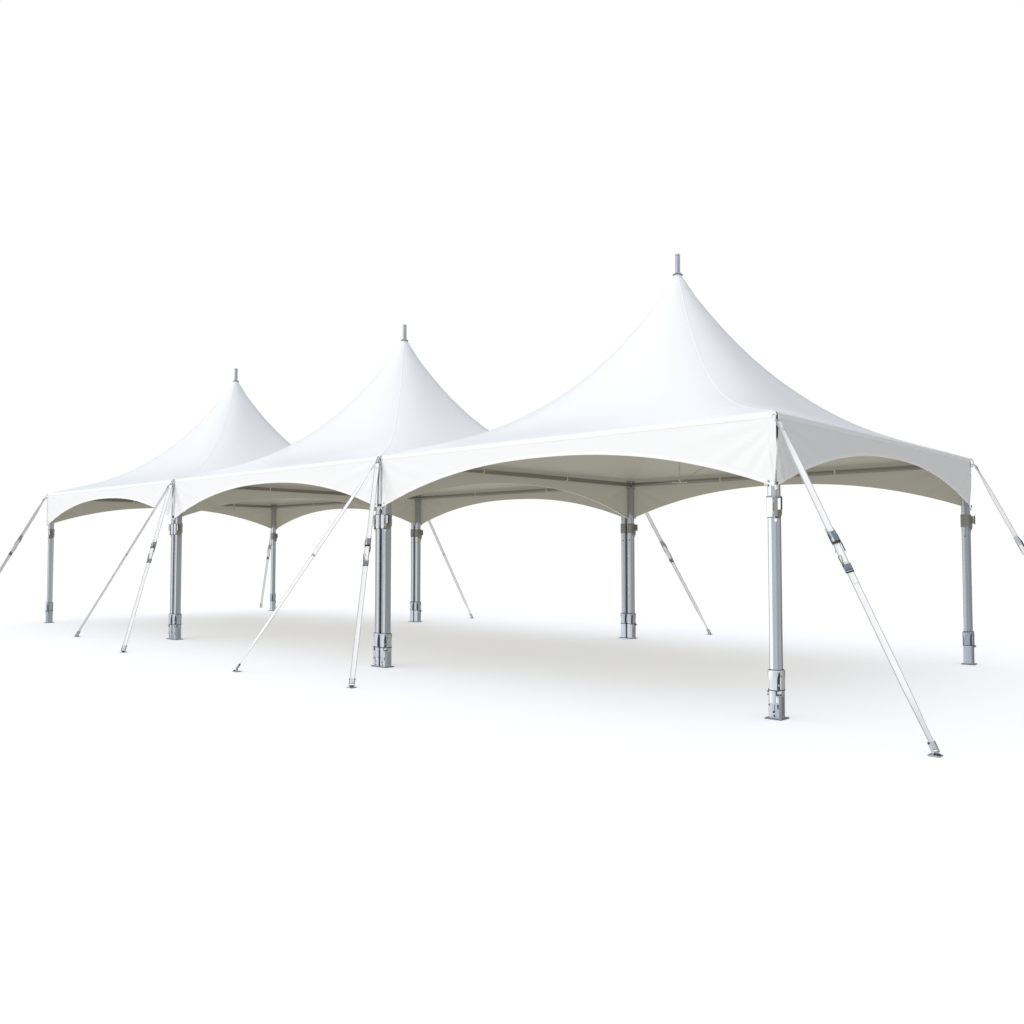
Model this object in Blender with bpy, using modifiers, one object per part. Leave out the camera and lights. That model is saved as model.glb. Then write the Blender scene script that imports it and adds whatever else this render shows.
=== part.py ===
# A marquee of three square high-peak frame tents that stand side by side.
# Metres, +Z up. The origin is at the middle of the marquee, on the ground.
# The three bays follow each other along X, and the front is at -Y.

import math

import bmesh
import bpy
from mathutils import Matrix, Vector

# Driving dimensions of the whole marquee
BAYS = 3
BAY = 5.0
EAVE = 2.45
PEAK = 4.64
MAST_TOP = 4.90

# Gap that touching pieces keep between them
SEAT = 0.0003

# Cloth: its thickness, the gap to the next bay, the sewn band along the eave
CLOTH = 0.004
BAY_GAP = 0.004
HEM = 0.02

# Roof: how the hip line falls, how fast the round top turns square, the neck
HIP_POWER = 2.06
HIP_BELLY = 0.52
ROUNDING = 1.4
NECK_RADIUS = 0.052
NECK_HEIGHT = 0.02
ROOF_SIDES = 32
ROOF_STEPS = (1.0, 0.93, 0.84, 0.74, 0.63, 0.52, 0.41, 0.31, 0.22, 0.14, 0.07)

# Valance: its drop at mid-span and at the corner, and the notch for the guys
DROP_MIDDLE = 0.19
DROP_CORNER = 0.60
ARCH_POWER = 2.2
NOTCH = 0.03
NOTCH_SHARE = 0.57
VALANCE_COLUMNS = 14
# Sides of a bay, as quarter turns from the right
SIDES = ("right", "back", "left", "front")

# Legs stand this far inside the eave line
LEG_INSET = 0.06
LEG_WIDTH = 0.084
LEG_RADIUS = 0.018
COLLAR_WIDTH = 0.100
COLLAR_RADIUS = 0.020
COLLAR_BOTTOM = 1.61
COLLAR_TOP = 1.78

# Feet
PLATE_WIDTH = 0.150
PLATE_THICKNESS = 0.008
SOCKET_WIDTH = 0.096
SOCKET_RADIUS = 0.008
SOCKET_TOP = 0.235
SOCKET_LAP = 0.01
SLEEVE_WIDTH = 0.108
SLEEVE_RADIUS = 0.020
SLEEVE_TOP = 0.42

# Eave frame: beams that run into castings on the legs, with eyes for the guys
BEAM_WIDTH = 0.06
BEAM_BOTTOM = 2.33
BEAM_TOP = 2.41
BEAM_HOLD = 0.035
CASTING_BOTTOM = 2.32
CASTING_TOP = 2.442
CASTING_RADIUS = 0.006
EYE_HEIGHT = 2.37
EYE_LENGTH = 0.032
EYE_WIDTH = 0.010
EYE_DEPTH = 0.05
EYE_ROOT = 0.02
# At a joint the guy eye stands this far in from the casting's side
EYE_SET_IN = 0.014

# Crossed cables and the mast that they carry
HUB_RADIUS = 0.026
# With 12 sides, each cable meets the middle of a flat side of the hub
HUB_SIDES = 12
HUB_BOTTOM = 2.11
HUB_TOP = 2.20
CABLE_RADIUS = 0.005
CABLE_EYE_LENGTH = 0.03
CABLE_EYE_ROOT = 0.03
CABLE_EYE_HEIGHT = 2.36
CLEVIS = 0.026
MAST_RADIUS = 0.029
MAST_COLLAR_RADIUS = 0.057
MAST_COLLAR_HEIGHT = 0.035
MAST_COLLAR_RIM = 0.008
MAST_CAP_RADIUS = 0.022
MAST_CAP_HEIGHT = 0.02
# The tube ends this far under the roof's tip, and a thinner rod goes on down
MAST_TUBE_DEPTH = 0.14
MAST_TAPER = 0.03
ROD_RADIUS = 0.014

# Guys: webbing, its two ratchets, the hook and the ground plate
WEB_WIDTH = 0.046
WEB_THICKNESS = 0.005
RATCHET_AT = 0.385
RATCHET = (0.066, 0.034, 0.16)
BUCKLE_AT = 0.475
BUCKLE = (0.058, 0.026, 0.10)
HOOK = (0.034, 0.026, 0.05)
# The webbing starts this far out from the hook's middle, and this far below it
WEB_START = (0.0136, 0.0125)
STAKE_WIDTH = 0.082
STAKE_CORNER = 0.012
STAKE_THICKNESS = 0.008
CLEVIS_PLATES = (0.058, 0.022, 0.10)
CLEVIS_MIDDLE = 0.052
CLEVIS_SET_BACK = 0.01

# Each guy: bay, corner as signs along X and Y, and its ground point from there
GUYS = {
    "guy_front_left": (0, -1, -1, (-1.10, -1.04)),
    "guy_front_middle_left_a": (0, 1, -1, (-1.46, -0.85)),
    "guy_front_middle_left_b": (1, -1, -1, (1.22, -1.37)),
    "guy_front_middle_right_a": (1, 1, -1, (-0.76, -1.40)),
    "guy_front_middle_right_b": (2, -1, -1, (1.04, -1.28)),
    "guy_front_right": (2, 1, -1, (1.39, -0.56)),
    "guy_back_right": (2, 1, 1, (1.08, 0.75)),
    "guy_back_middle_right": (2, -1, 1, (0.54, 1.40)),
    "guy_back_middle_left": (0, 1, 1, (0.18, 1.40)),
    "guy_back_left": (0, -1, 1, (-1.39, 0.56)),
}

# Values that follow from the driving dimensions
HALF = BAY / 2 - BAY_GAP
LEG = BAY / 2 - LEG_INSET
CASTING_WIDTH = 2 * (HALF - CLOTH - SEAT - LEG)
HIP_REACH = HALF * math.sqrt(2)
NECK_SHARE = NECK_RADIUS / HIP_REACH
VALANCE_TOP = EAVE - HEM - SEAT


def clear_scene():
    """Remove what the file opened with."""
    for thing in list(bpy.data.objects):
        bpy.data.objects.remove(thing)


def make_collection(name):
    """A new collection in the scene."""
    group = bpy.data.collections.new(name)
    bpy.context.scene.collection.children.link(group)
    return group


clear_scene()
PARTS = make_collection("marquee_tent")
TOOLS = make_collection("joined_shapes")


def material(name, colour, roughness, metallic):
    """A plain Principled material."""
    made = bpy.data.materials.new(name)
    made.use_nodes = True
    shader = made.node_tree.nodes["Principled BSDF"]
    shader.inputs["Base Color"].default_value = (*colour, 1.0)
    shader.inputs["Roughness"].default_value = roughness
    shader.inputs["Metallic"].default_value = metallic
    return made


def finish(thing, looks, smooth=None):
    """Give an object its own material, and smooth shading where it is round."""
    colour, roughness, metallic = looks
    thing.data.materials.clear()
    thing.data.materials.append(material(thing.name, colour, roughness, metallic))
    if smooth is not None:
        thing.data.shade_smooth()
        thing.data.set_sharp_from_angle(angle=math.radians(smooth))
    return thing


ALUMINIUM = ((0.62, 0.65, 0.69), 0.35, 1.0)
GALVANISED = ((0.48, 0.51, 0.55), 0.45, 1.0)
STEEL = ((0.40, 0.42, 0.45), 0.40, 1.0)
WHITE_CLOTH = ((0.90, 0.90, 0.92), 0.55, 0.0)
WEBBING = ((0.88, 0.88, 0.88), 0.80, 0.0)


def add_object(name, mesh_maker, group, place=None):
    """Turn a filled bmesh into an object of one collection."""
    mesh = bpy.data.meshes.new(name)
    mesh_maker.normal_update()
    mesh_maker.to_mesh(mesh)
    mesh_maker.free()
    thing = bpy.data.objects.new(name, mesh)
    group.objects.link(thing)
    if place is not None:
        thing.matrix_world = place
    return thing


def box(name, size, place, radius=0.0, group=None):
    """A box about its own middle, with its upright edges rounded."""
    shape = bmesh.new()
    bmesh.ops.create_cube(shape, size=1.0)
    bmesh.ops.scale(shape, vec=Vector(size), verts=shape.verts)
    if radius > 0:
        upright = [edge for edge in shape.edges
                   if abs(edge.verts[0].co.z - edge.verts[1].co.z) > size[2] / 2]
        bmesh.ops.bevel(shape, geom=upright, offset=radius, segments=3,
                        profile=0.5, affect="EDGES")
    return add_object(name, shape, group or TOOLS, place)


def column(name, width, radius, centre, low, high, group=None):
    """An upright square post between two heights."""
    place = Matrix.Translation((centre[0], centre[1], (low + high) / 2))
    return box(name, (width, width, high - low), place, radius, group)


def fuse(body, *others):
    """Join shapes into one solid. The joined shapes stay as hidden guides."""
    for other in others:
        join = body.modifiers.new("join_" + other.name, "BOOLEAN")
        join.operation = "UNION"
        join.solver = "EXACT"
        join.object = other
        other.hide_render = True
        other.display_type = "WIRE"
    return body


def bay_centre(bay):
    """X of the middle of a bay, counted from 0 at the left."""
    return (bay - (BAYS - 1) / 2) * BAY


def corner_point(bay, side_x, side_y):
    """Axis of the leg in one corner of a bay."""
    return Vector((bay_centre(bay) + side_x * LEG, side_y * LEG, 0))


def is_outer(bay, side_x):
    """True where no other bay stands beside this corner."""
    return bay + side_x < 0 or bay + side_x >= BAYS


def eye_direction(bay, side_x, side_y):
    """Way in which a corner's guy eye points: outward, and straight at a joint."""
    if is_outer(bay, side_x):
        return Vector((side_x, side_y, 0)).normalized()
    return Vector((0, side_y, 0))


def eye_root(bay, side_x, side_y):
    """Point on the corner casting's face where its guy eye starts."""
    corner = corner_point(bay, side_x, side_y)
    reach = CASTING_WIDTH / 2
    along = side_x * (reach if is_outer(bay, side_x) else reach - EYE_SET_IN)
    return Vector((corner.x + along, corner.y + side_y * reach, EYE_HEIGHT))


def eye_tip(bay, side_x, side_y):
    """Outer end of a corner's guy eye."""
    return eye_root(bay, side_x, side_y) + EYE_LENGTH * eye_direction(bay, side_x, side_y)


def facing(direction, centre):
    """A placement whose X points along a level direction."""
    turn = math.atan2(direction.y, direction.x)
    return Matrix.Translation(centre) @ Matrix.Rotation(turn, 4, "Z")


def hip_height(share):
    """Height of the roof where the hip has gone this share of its way out."""
    shape = (1 - share) ** HIP_POWER + HIP_BELLY * share ** 3 * (1 - share)
    top = (1 - NECK_SHARE) ** HIP_POWER
    rise = (PEAK - NECK_HEIGHT - EAVE) / top
    return EAVE + rise * shape


def roof_ring(share):
    """Outline of the roof at one level: square at the eave, round at the neck."""
    roundness = (1 - share) ** ROUNDING
    points = []
    for step in range(ROOF_SIDES):
        angle = 2 * math.pi * step / ROOF_SIDES
        square = 1 / max(abs(math.cos(angle)), abs(math.sin(angle)))
        reach = HIP_REACH * share * ((1 - roundness) * square / math.sqrt(2) + roundness)
        points.append((reach * math.cos(angle), reach * math.sin(angle)))
    return points


def thicken(thing):
    """Give an open sheet its thickness on the inner side."""
    shell = thing.modifiers.new("thickness", "SOLIDIFY")
    shell.thickness = CLOTH
    shell.offset = -1
    shell.use_even_offset = True
    return thing


def bridge(shape, lower, upper):
    """Faces between two closed rings of points, lower ring first."""
    count = len(lower)
    for index in range(count):
        after = (index + 1) % count
        shape.faces.new((lower[index], lower[after], upper[after], upper[index]))


def make_roof(bay):
    """One tensioned cover, from the sewn band at the eave up to its neck."""
    levels = [(EAVE - HEM, 1.0)]
    levels += [(hip_height(share), share) for share in ROOF_STEPS]
    levels += [(PEAK - NECK_HEIGHT, NECK_SHARE), (PEAK, NECK_SHARE)]
    shape = bmesh.new()
    below = None
    for height, share in levels:
        ring = [shape.verts.new((x, y, height)) for x, y in roof_ring(share)]
        if below:
            bridge(shape, below, ring)
        below = ring
    place = Matrix.Translation((bay_centre(bay), 0, 0))
    thing = add_object("roof_%d" % (bay + 1), shape, PARTS, place)
    return finish(thicken(thing), WHITE_CLOTH, smooth=40)


def valance_drop(along):
    """How far the valance hangs below the eave, at a distance from mid-span."""
    share = abs(along) / (BAY / 2)
    return DROP_MIDDLE + (DROP_CORNER - DROP_MIDDLE) * share ** ARCH_POWER


def make_valance(bay, quarter):
    """One arched side of a bay's skirt, with its upper corners notched."""
    turn = Matrix.Rotation(quarter * math.pi / 2, 3, "Z")
    end = HALF if SIDES[quarter] in ("front", "back") else HALF - CLOTH - SEAT
    reach = HALF - NOTCH
    places = [reach * (2 * step / VALANCE_COLUMNS - 1) for step in range(VALANCE_COLUMNS + 1)]
    shape = bmesh.new()
    columns = []
    for along in [-end, *places, end]:
        bottom = EAVE - valance_drop(along)
        shares = (1.0, NOTCH_SHARE) if abs(along) == end else (1.0, NOTCH_SHARE, 0.0)
        heights = [VALANCE_TOP + share * (bottom - VALANCE_TOP) for share in shares]
        columns.append([shape.verts.new(turn @ Vector((HALF, along, height)))
                        for height in heights])
    for left, right in zip(columns, columns[1:]):
        for row in range(min(len(left), len(right)) - 1):
            shape.faces.new((left[row], right[row], right[row + 1], left[row + 1]))
    place = Matrix.Translation((bay_centre(bay), 0, 0))
    name = "valance_%s_%d" % (SIDES[quarter], bay + 1)
    return finish(thicken(add_object(name, shape, PARTS, place)), WHITE_CLOTH)


def make_leg(bay, side_x, side_y):
    """One telescopic upright with the band around its upper joint."""
    name = leg_name(bay, side_x, side_y)
    centre = corner_point(bay, side_x, side_y)
    leg = column(name, LEG_WIDTH, LEG_RADIUS, centre,
                 SLEEVE_TOP + SEAT, CASTING_BOTTOM - SEAT, PARTS)
    band = column(name + "_band", COLLAR_WIDTH, COLLAR_RADIUS, centre,
                  COLLAR_BOTTOM, COLLAR_TOP)
    return finish(fuse(leg, band), ALUMINIUM, smooth=35)


def leg_name(bay, side_x, side_y):
    """Name of a leg: row, bay and side."""
    row = "front" if side_y < 0 else "back"
    side = "left" if side_x < 0 else "right"
    return "leg_%s_%d_%s" % (row, bay + 1, side)


def make_foot(name, legs):
    """A base plate with one socket and sleeve for each leg that stands on it."""
    middle = sum(legs, Vector()) / len(legs)
    spread = max(leg.x for leg in legs) - min(leg.x for leg in legs)
    plate_place = Matrix.Translation((middle.x, middle.y, PLATE_THICKNESS / 2))
    plate = box(name, (PLATE_WIDTH + spread, PLATE_WIDTH, PLATE_THICKNESS),
                plate_place, SOCKET_RADIUS, PARTS)
    for count, leg in enumerate(legs):
        socket = column("%s_socket_%d" % (name, count), SOCKET_WIDTH, SOCKET_RADIUS, leg,
                        PLATE_THICKNESS / 2, SOCKET_TOP + SOCKET_LAP)
        sleeve = column("%s_sleeve_%d" % (name, count), SLEEVE_WIDTH, SLEEVE_RADIUS, leg,
                        SOCKET_TOP, SLEEVE_TOP)
        fuse(plate, socket, sleeve)
    return finish(plate, GALVANISED, smooth=35)


def make_eave_frame(bay):
    """The square of eave beams with its four corner castings and their eyes."""
    name = "eave_frame_%d" % (bay + 1)
    middle = bay_centre(bay)
    depth = BEAM_TOP - BEAM_BOTTOM
    level = (BEAM_TOP + BEAM_BOTTOM) / 2
    length = 2 * (LEG - BEAM_HOLD)
    body = None
    beams = []
    for side in (-1, 1):
        beams.append(((middle, side * LEG), (length, BEAM_WIDTH, depth)))
        beams.append(((middle + side * LEG, 0), (BEAM_WIDTH, length, depth)))
    for count, (centre, size) in enumerate(beams):
        place = Matrix.Translation((*centre, level))
        group = TOOLS if body else PARTS
        label = "%s_beam_%d" % (name, count) if body else name
        beam = box(label, size, place, 0.0, group)
        if body:
            fuse(body, beam)
        else:
            body = beam
    for side_x in (-1, 1):
        for side_y in (-1, 1):
            fuse(body, *make_corner(name, bay, side_x, side_y))
    return finish(body, ALUMINIUM)


def make_corner(name, bay, side_x, side_y):
    """A corner casting, its guy eye outside and its cable eye inside."""
    label = "%s_%+d_%+d" % (name, side_x, side_y)
    corner = corner_point(bay, side_x, side_y)
    casting = column(label + "_casting", CASTING_WIDTH, CASTING_RADIUS, corner,
                     CASTING_BOTTOM, CASTING_TOP)
    shapes = [casting]
    out = eye_direction(bay, side_x, side_y)
    if (bay, side_x, side_y) in [guy[:3] for guy in GUYS.values()]:
        root = eye_root(bay, side_x, side_y)
        middle = root + out * (EYE_LENGTH - EYE_ROOT) / 2
        shapes.append(box(label + "_eye", (EYE_LENGTH + EYE_ROOT, EYE_WIDTH, EYE_DEPTH),
                          facing(out, middle)))
    start, inward = cable_eye(bay, side_x, side_y)
    length = CABLE_EYE_LENGTH + CABLE_EYE_ROOT
    middle = start - inward * length / 2
    shapes.append(box(label + "_cable_eye", (length, EYE_WIDTH, EYE_DEPTH),
                      facing(inward, middle)))
    return shapes


def cable_eye(bay, side_x, side_y):
    """Inner end of a corner's cable eye, and the level way to the hub."""
    corner = corner_point(bay, side_x, side_y)
    inward = Vector((-side_x, -side_y, 0)).normalized()
    edge = CASTING_WIDTH / 2 * math.sqrt(2)
    start = corner + inward * (edge + CABLE_EYE_LENGTH)
    return Vector((start.x, start.y, CABLE_EYE_HEIGHT)), inward


def rod(name, start, end, radius, sides=8):
    """A straight round bar between two points, as a closed mesh."""
    run = end - start
    shape = bmesh.new()
    bmesh.ops.create_cone(shape, cap_ends=True, segments=sides,
                          radius1=radius, radius2=radius, depth=run.length)
    turn = run.to_track_quat("Z", "Y").to_matrix().to_4x4()
    return add_object(name, shape, TOOLS, Matrix.Translation((start + end) / 2) @ turn)


def make_cross_cables(bay):
    """Four cables from the corners to the hub that holds the mast's foot."""
    name = "cross_cables_%d" % (bay + 1)
    middle = bay_centre(bay)
    shape = bmesh.new()
    bmesh.ops.create_cone(shape, cap_ends=True, segments=HUB_SIDES, radius1=HUB_RADIUS,
                          radius2=HUB_RADIUS, depth=HUB_TOP - HUB_BOTTOM)
    hub_middle = Vector((middle, 0, (HUB_TOP + HUB_BOTTOM) / 2))
    hub = add_object(name, shape, PARTS, Matrix.Translation(hub_middle))
    for side_x in (-1, 1):
        for side_y in (-1, 1):
            label = "%s_%+d_%+d" % (name, side_x, side_y)
            start, inward = cable_eye(bay, side_x, side_y)
            clevis_middle = start + inward * (SEAT + CLEVIS / 2)
            clevis = box(label + "_clevis", (CLEVIS, CLEVIS, EYE_DEPTH),
                         facing(inward, clevis_middle))
            end = hub_middle - inward * HUB_RADIUS / 2
            fuse(hub, clevis, rod(label + "_cable", clevis_middle, end, CABLE_RADIUS))
    return finish(hub, STEEL, smooth=40)


def make_mast(bay):
    """The centre mast, with the collar that tops the cloth and the bare end."""
    base = HUB_TOP + SEAT
    collar = PEAK + SEAT
    taper = collar + MAST_COLLAR_HEIGHT
    tube_end = PEAK - MAST_TUBE_DEPTH
    profile = [
        (0.0, MAST_TOP),
        (MAST_CAP_RADIUS, MAST_TOP),
        (MAST_RADIUS, MAST_TOP - MAST_CAP_HEIGHT),
        (MAST_RADIUS, taper),
        (MAST_COLLAR_RADIUS, collar + MAST_COLLAR_RIM),
        (MAST_COLLAR_RADIUS, collar),
        (MAST_RADIUS, collar),
        (MAST_RADIUS, tube_end),
        (ROD_RADIUS, tube_end - MAST_TAPER),
        (ROD_RADIUS, base),
        (0.0, base),
    ]
    shape = bmesh.new()
    points = [shape.verts.new((radius, 0, height)) for radius, height in profile]
    for upper, lower in zip(points, points[1:]):
        shape.edges.new((upper, lower))
    place = Matrix.Translation((bay_centre(bay), 0, 0))
    thing = add_object("mast_%d" % (bay + 1), shape, PARTS, place)
    turned = thing.modifiers.new("turned", "SCREW")
    turned.steps = 24
    turned.render_steps = 24
    turned.use_merge_vertices = True
    turned.merge_threshold = 0.0001
    return finish(thing, ALUMINIUM, smooth=40)


def web_place(start, end, share):
    """A placement on a guy: Z along the webbing, X level across it."""
    along = (end - start).normalized()
    across = Vector((0, 0, 1)).cross(along).normalized()
    face = along.cross(across)
    turn = Matrix((across, face, along)).transposed().to_4x4()
    return Matrix.Translation(start.lerp(end, share)) @ turn


def make_guy(name, bay, side_x, side_y, offset):
    """A taut guy: hook, webbing, its two ratchets and the ground plate."""
    out = eye_direction(bay, side_x, side_y)
    hook_middle = eye_tip(bay, side_x, side_y) + out * (SEAT + HOOK[0] / 2)
    corner = corner_point(bay, side_x, side_y)
    stake = corner + Vector((*offset, 0))
    level = Vector((stake.x - hook_middle.x, stake.y - hook_middle.y, 0)).normalized()
    top = hook_middle + out * WEB_START[0] - Vector((0, 0, WEB_START[1]))
    hold = stake - level * CLEVIS_SET_BACK + Vector((0, 0, CLEVIS_MIDDLE))
    plate_middle = stake + Vector((0, 0, STAKE_THICKNESS / 2))
    plate = box(name, (STAKE_WIDTH, STAKE_WIDTH, STAKE_THICKNESS),
                Matrix.Translation(plate_middle), STAKE_CORNER, PARTS)
    clevis = box(name + "_clevis", CLEVIS_PLATES, web_place(top, hold, 1.0))
    length = (hold - top).length
    web = box(name + "_web", (WEB_WIDTH, WEB_THICKNESS, length), web_place(top, hold, 0.5))
    ratchet = box(name + "_ratchet", RATCHET, web_place(top, hold, RATCHET_AT))
    buckle = box(name + "_buckle", BUCKLE, web_place(top, hold, BUCKLE_AT))
    hook = box(name + "_hook", HOOK, facing(out, hook_middle))
    fuse(plate, clevis, web, ratchet, buckle, hook)
    return finish(plate, WEBBING)


def make_feet_and_legs():
    """All legs, and one foot under each corner or pair of legs."""
    for side_y, row in ((-1, "front"), (1, "back")):
        pairs = [[corner_point(0, -1, side_y)]]
        for bay in range(BAYS - 1):
            pairs.append([corner_point(bay, 1, side_y), corner_point(bay + 1, -1, side_y)])
        pairs.append([corner_point(BAYS - 1, 1, side_y)])
        for count, legs in enumerate(pairs):
            make_foot("foot_%s_%d" % (row, count + 1), legs)
        for bay in range(BAYS):
            for side_x in (-1, 1):
                make_leg(bay, side_x, side_y)


make_feet_and_legs()
for number in range(BAYS):
    make_eave_frame(number)
    make_cross_cables(number)
    make_mast(number)
    make_roof(number)
    for turns in range(len(SIDES)):
        make_valance(number, turns)
for guy_name, (guy_bay, guy_x, guy_y, ground) in GUYS.items():
    make_guy(guy_name, guy_bay, guy_x, guy_y, ground)
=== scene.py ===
# Looks of the marquee: three square high-peak frame tents in a row.
# Metres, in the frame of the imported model: origin on the ground at the middle
# of the marquee, +X along the bays, the front at -Y, +Z up.

from math import atan, atan2, cos, exp, hypot, log2, pi, radians, sin, sqrt

import bmesh
import bpy
from mathutils import Matrix, Vector


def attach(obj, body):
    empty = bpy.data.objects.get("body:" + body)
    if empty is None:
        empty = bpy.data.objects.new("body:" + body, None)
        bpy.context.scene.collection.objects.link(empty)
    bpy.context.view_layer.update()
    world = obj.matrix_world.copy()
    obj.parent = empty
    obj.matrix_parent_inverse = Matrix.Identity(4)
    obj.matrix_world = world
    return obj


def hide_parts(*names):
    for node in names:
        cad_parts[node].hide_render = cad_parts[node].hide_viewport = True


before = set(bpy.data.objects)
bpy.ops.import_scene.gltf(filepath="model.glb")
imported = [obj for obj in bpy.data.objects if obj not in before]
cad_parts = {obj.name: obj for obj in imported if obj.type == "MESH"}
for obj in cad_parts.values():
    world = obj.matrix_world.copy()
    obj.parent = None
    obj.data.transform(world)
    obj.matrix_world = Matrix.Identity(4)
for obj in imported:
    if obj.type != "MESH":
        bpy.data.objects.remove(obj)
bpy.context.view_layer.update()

# Dimensions of the CAD model
BAYS, BAY, EAVE, PEAK, MAST_TOP = 3, 5.0, 2.45, 4.64, 4.90
SEAT, CLOTH, HEM = 0.0003, 0.004, 0.02
HALF = 2.496
LEG = 2.44
CASTING_WIDTH = 2 * (HALF - CLOTH - SEAT - LEG)
HIP_REACH = HALF * sqrt(2)
NECK_RADIUS, NECK_HEIGHT = 0.052, 0.02
NECK_SHARE = NECK_RADIUS / HIP_REACH
HIP_POWER, HIP_BELLY, ROUNDING, TIP_DIP = 2.30, 0.39, 1.2, 0.035
VALANCE_TOP = EAVE - HEM - SEAT
DROP_MIDDLE, DROP_CORNER, ARCH_POWER = 0.19, 0.60, 2.2
LEG_WIDTH, LEG_RADIUS = 0.084, 0.013
COLLAR_WIDTH, COLLAR_RADIUS, COLLAR_BOTTOM, COLLAR_TOP = 0.100, 0.020, 1.61, 1.78
PLATE_WIDTH, PLATE_THICKNESS, PLATE_RADIUS = 0.150, 0.008, 0.012
SOCKET_WIDTH, SOCKET_RADIUS, SOCKET_TOP = 0.098, 0.008, 0.230
SLEEVE_WIDTH, SLEEVE_RADIUS, SLEEVE_TOP = 0.114, 0.024, 0.386
BEAM_WIDTH, BEAM_TOP, BEAM_HOLD, RAIL_BOTTOM = 0.06, 2.41, 0.035, 2.356
CASTING_BOTTOM, CASTING_TOP, CASTING_RADIUS = 2.32, 2.442, 0.006
EYE_HEIGHT, EYE_LENGTH, EYE_DEPTH, EYE_SET_IN = 2.37, 0.032, 0.05, 0.014
HUB_RADIUS, HUB_BOTTOM, HUB_TOP, CABLE_RADIUS = 0.018, 2.11, 2.20, 0.004
CABLE_EYE_LENGTH, CABLE_EYE_HEIGHT = 0.03, 2.36
MAST_RADIUS, MAST_COLLAR_RADIUS, MAST_COLLAR_HEIGHT = 0.029, 0.057, 0.035
MAST_CAP_RADIUS, MAST_TUBE_DEPTH, MAST_TAPER, ROD_RADIUS = 0.022, 0.14, 0.03, 0.009
WEB_WIDTH, RATCHET_AT, BUCKLE_AT, HOOK_LENGTH = 0.054, 0.395, 0.496, 0.034
WEB_START, WEB_EDGE_SHADE_WIDTH = (0.0136, 0.0125), 0.0075
STAKE_WIDTH, STAKE_RADIUS, STAKE_THICKNESS = 0.082, 0.018, 0.008
CLEVIS_MIDDLE, CLEVIS_SET_BACK = 0.052, 0.01
SHEET_THICKNESS = 0.003
SIDES = ("right", "back", "left", "front")

# Each guy: bay, corner as signs along X and Y, and its ground point from there
GUYS = {
    "guy_front_left": (0, -1, -1, (-1.10, -1.04)),
    "guy_front_middle_left_a": (0, 1, -1, (-1.46, -0.85)),
    "guy_front_middle_left_b": (1, -1, -1, (1.22, -1.37)),
    "guy_front_middle_right_a": (1, 1, -1, (-0.76, -1.40)),
    "guy_front_middle_right_b": (2, -1, -1, (1.04, -1.28)),
    "guy_front_right": (2, 1, -1, (1.39, -0.56)),
    "guy_back_right": (2, 1, 1, (1.08, 0.75)),
    "guy_back_middle_right": (2, -1, 1, (0.54, 1.40)),
    "guy_back_middle_left": (0, 1, 1, (0.18, 1.40)),
    "guy_back_left": (0, -1, 1, (-1.39, 0.56)),
}

# How far each guy's webbing is turned about its own length, in degrees, where
# ratchet and buckle sit elsewhere, and the guys that run down in one length
WEB_TURN = {"guy_front_left": 66, "guy_front_middle_right_a": -38, "guy_front_right": 30,
            "guy_back_right": -45, "guy_back_middle_right": -45, "guy_back_middle_left": -30}
DEVICES_AT = {"guy_front_left": (0.333, 0.449)}
PLAIN_GUYS = ("guy_front_middle_left_a", "guy_front_middle_right_a", "guy_back_middle_left")
UP = Vector((0, 0, 1))
ACROSS = Matrix.Rotation(pi / 2, 4, "Y")


# ---------------------------------------------------------------- materials

def add_node(tree, kind, inputs=(), **settings):
    """A new shader node; each input is a value, or a socket to link to it."""
    made = tree.nodes.new("ShaderNode" + kind)
    for name, value in settings.items():
        setattr(made, name, value)
    for socket, value in dict(inputs).items():
        if isinstance(value, bpy.types.NodeSocket):
            tree.links.new(value, made.inputs[socket])
        else:
            made.inputs[socket].default_value = value
    return made


def surface(name, colour, roughness, metallic=0.0, grain=(60, 60, 60), tone=0.05,
            wear=0.06, bump=0.2, depth=0.0005, ribs=None, cells=None, **sockets):
    """A Principled material whose colour, roughness and bump follow noise."""
    made = bpy.data.materials.new(name)
    made.use_nodes = True
    tree = made.node_tree
    shader = tree.nodes["Principled BSDF"]
    shader.inputs["Metallic"].default_value = metallic
    for socket, value in sockets.items():
        shader.inputs[socket.replace("_", " ")].default_value = value

    def node(kind, output, inputs=(), **settings):
        """The named output of a new node."""
        return add_node(tree, kind, inputs, **settings).outputs[output]

    def plus(value, factor, base):
        """Another value added to a base, times a factor."""
        return node("Math", 0, {0: value, 1: factor, 2: base}, operation="MULTIPLY_ADD")

    place = node("TexCoord", "Object")
    fine_place = node("Mapping", "Vector", {"Vector": place, "Scale": grain})
    fine = node("TexNoise", "Fac", {"Vector": fine_place, "Scale": 1.0, "Detail": 5.0})
    broad = node("TexNoise", "Fac", {"Vector": place, "Scale": 1.7, "Detail": 3.0})
    level = plus(fine, 0.5, node("Math", 0, {0: broad, 1: 0.5}, operation="MULTIPLY"))
    height = fine
    if cells:
        level = plus(node("TexVoronoi", "Distance", {"Vector": place, "Scale": cells}), 0.35, level)
    if ribs:
        waves = {"Vector": place, "Scale": ribs, "Distortion": 0.6}
        height = plus(node("TexWave", "Fac", waves, bands_direction="Z"), 0.6, height)
    dark, light = [(*[min(1.0, c * share) for c in colour], 1) for share in (1 - tone, 1 + tone)]
    paint = node("Mix", "Result", {"Factor": level, "A": dark, "B": light}, data_type="RGBA")
    tree.links.new(paint, shader.inputs["Base Color"])
    rough = {"Value": level, "From Min": 0.3, "From Max": 0.7,
             "To Min": max(0.03, roughness - wear), "To Max": min(1.0, roughness + wear)}
    tree.links.new(node("MapRange", "Result", rough), shader.inputs["Roughness"])
    if bump:
        relief = node("Bump", "Normal", {"Height": height, "Strength": bump, "Distance": depth})
        tree.links.new(relief, shader.inputs["Normal"])
    return made
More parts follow.
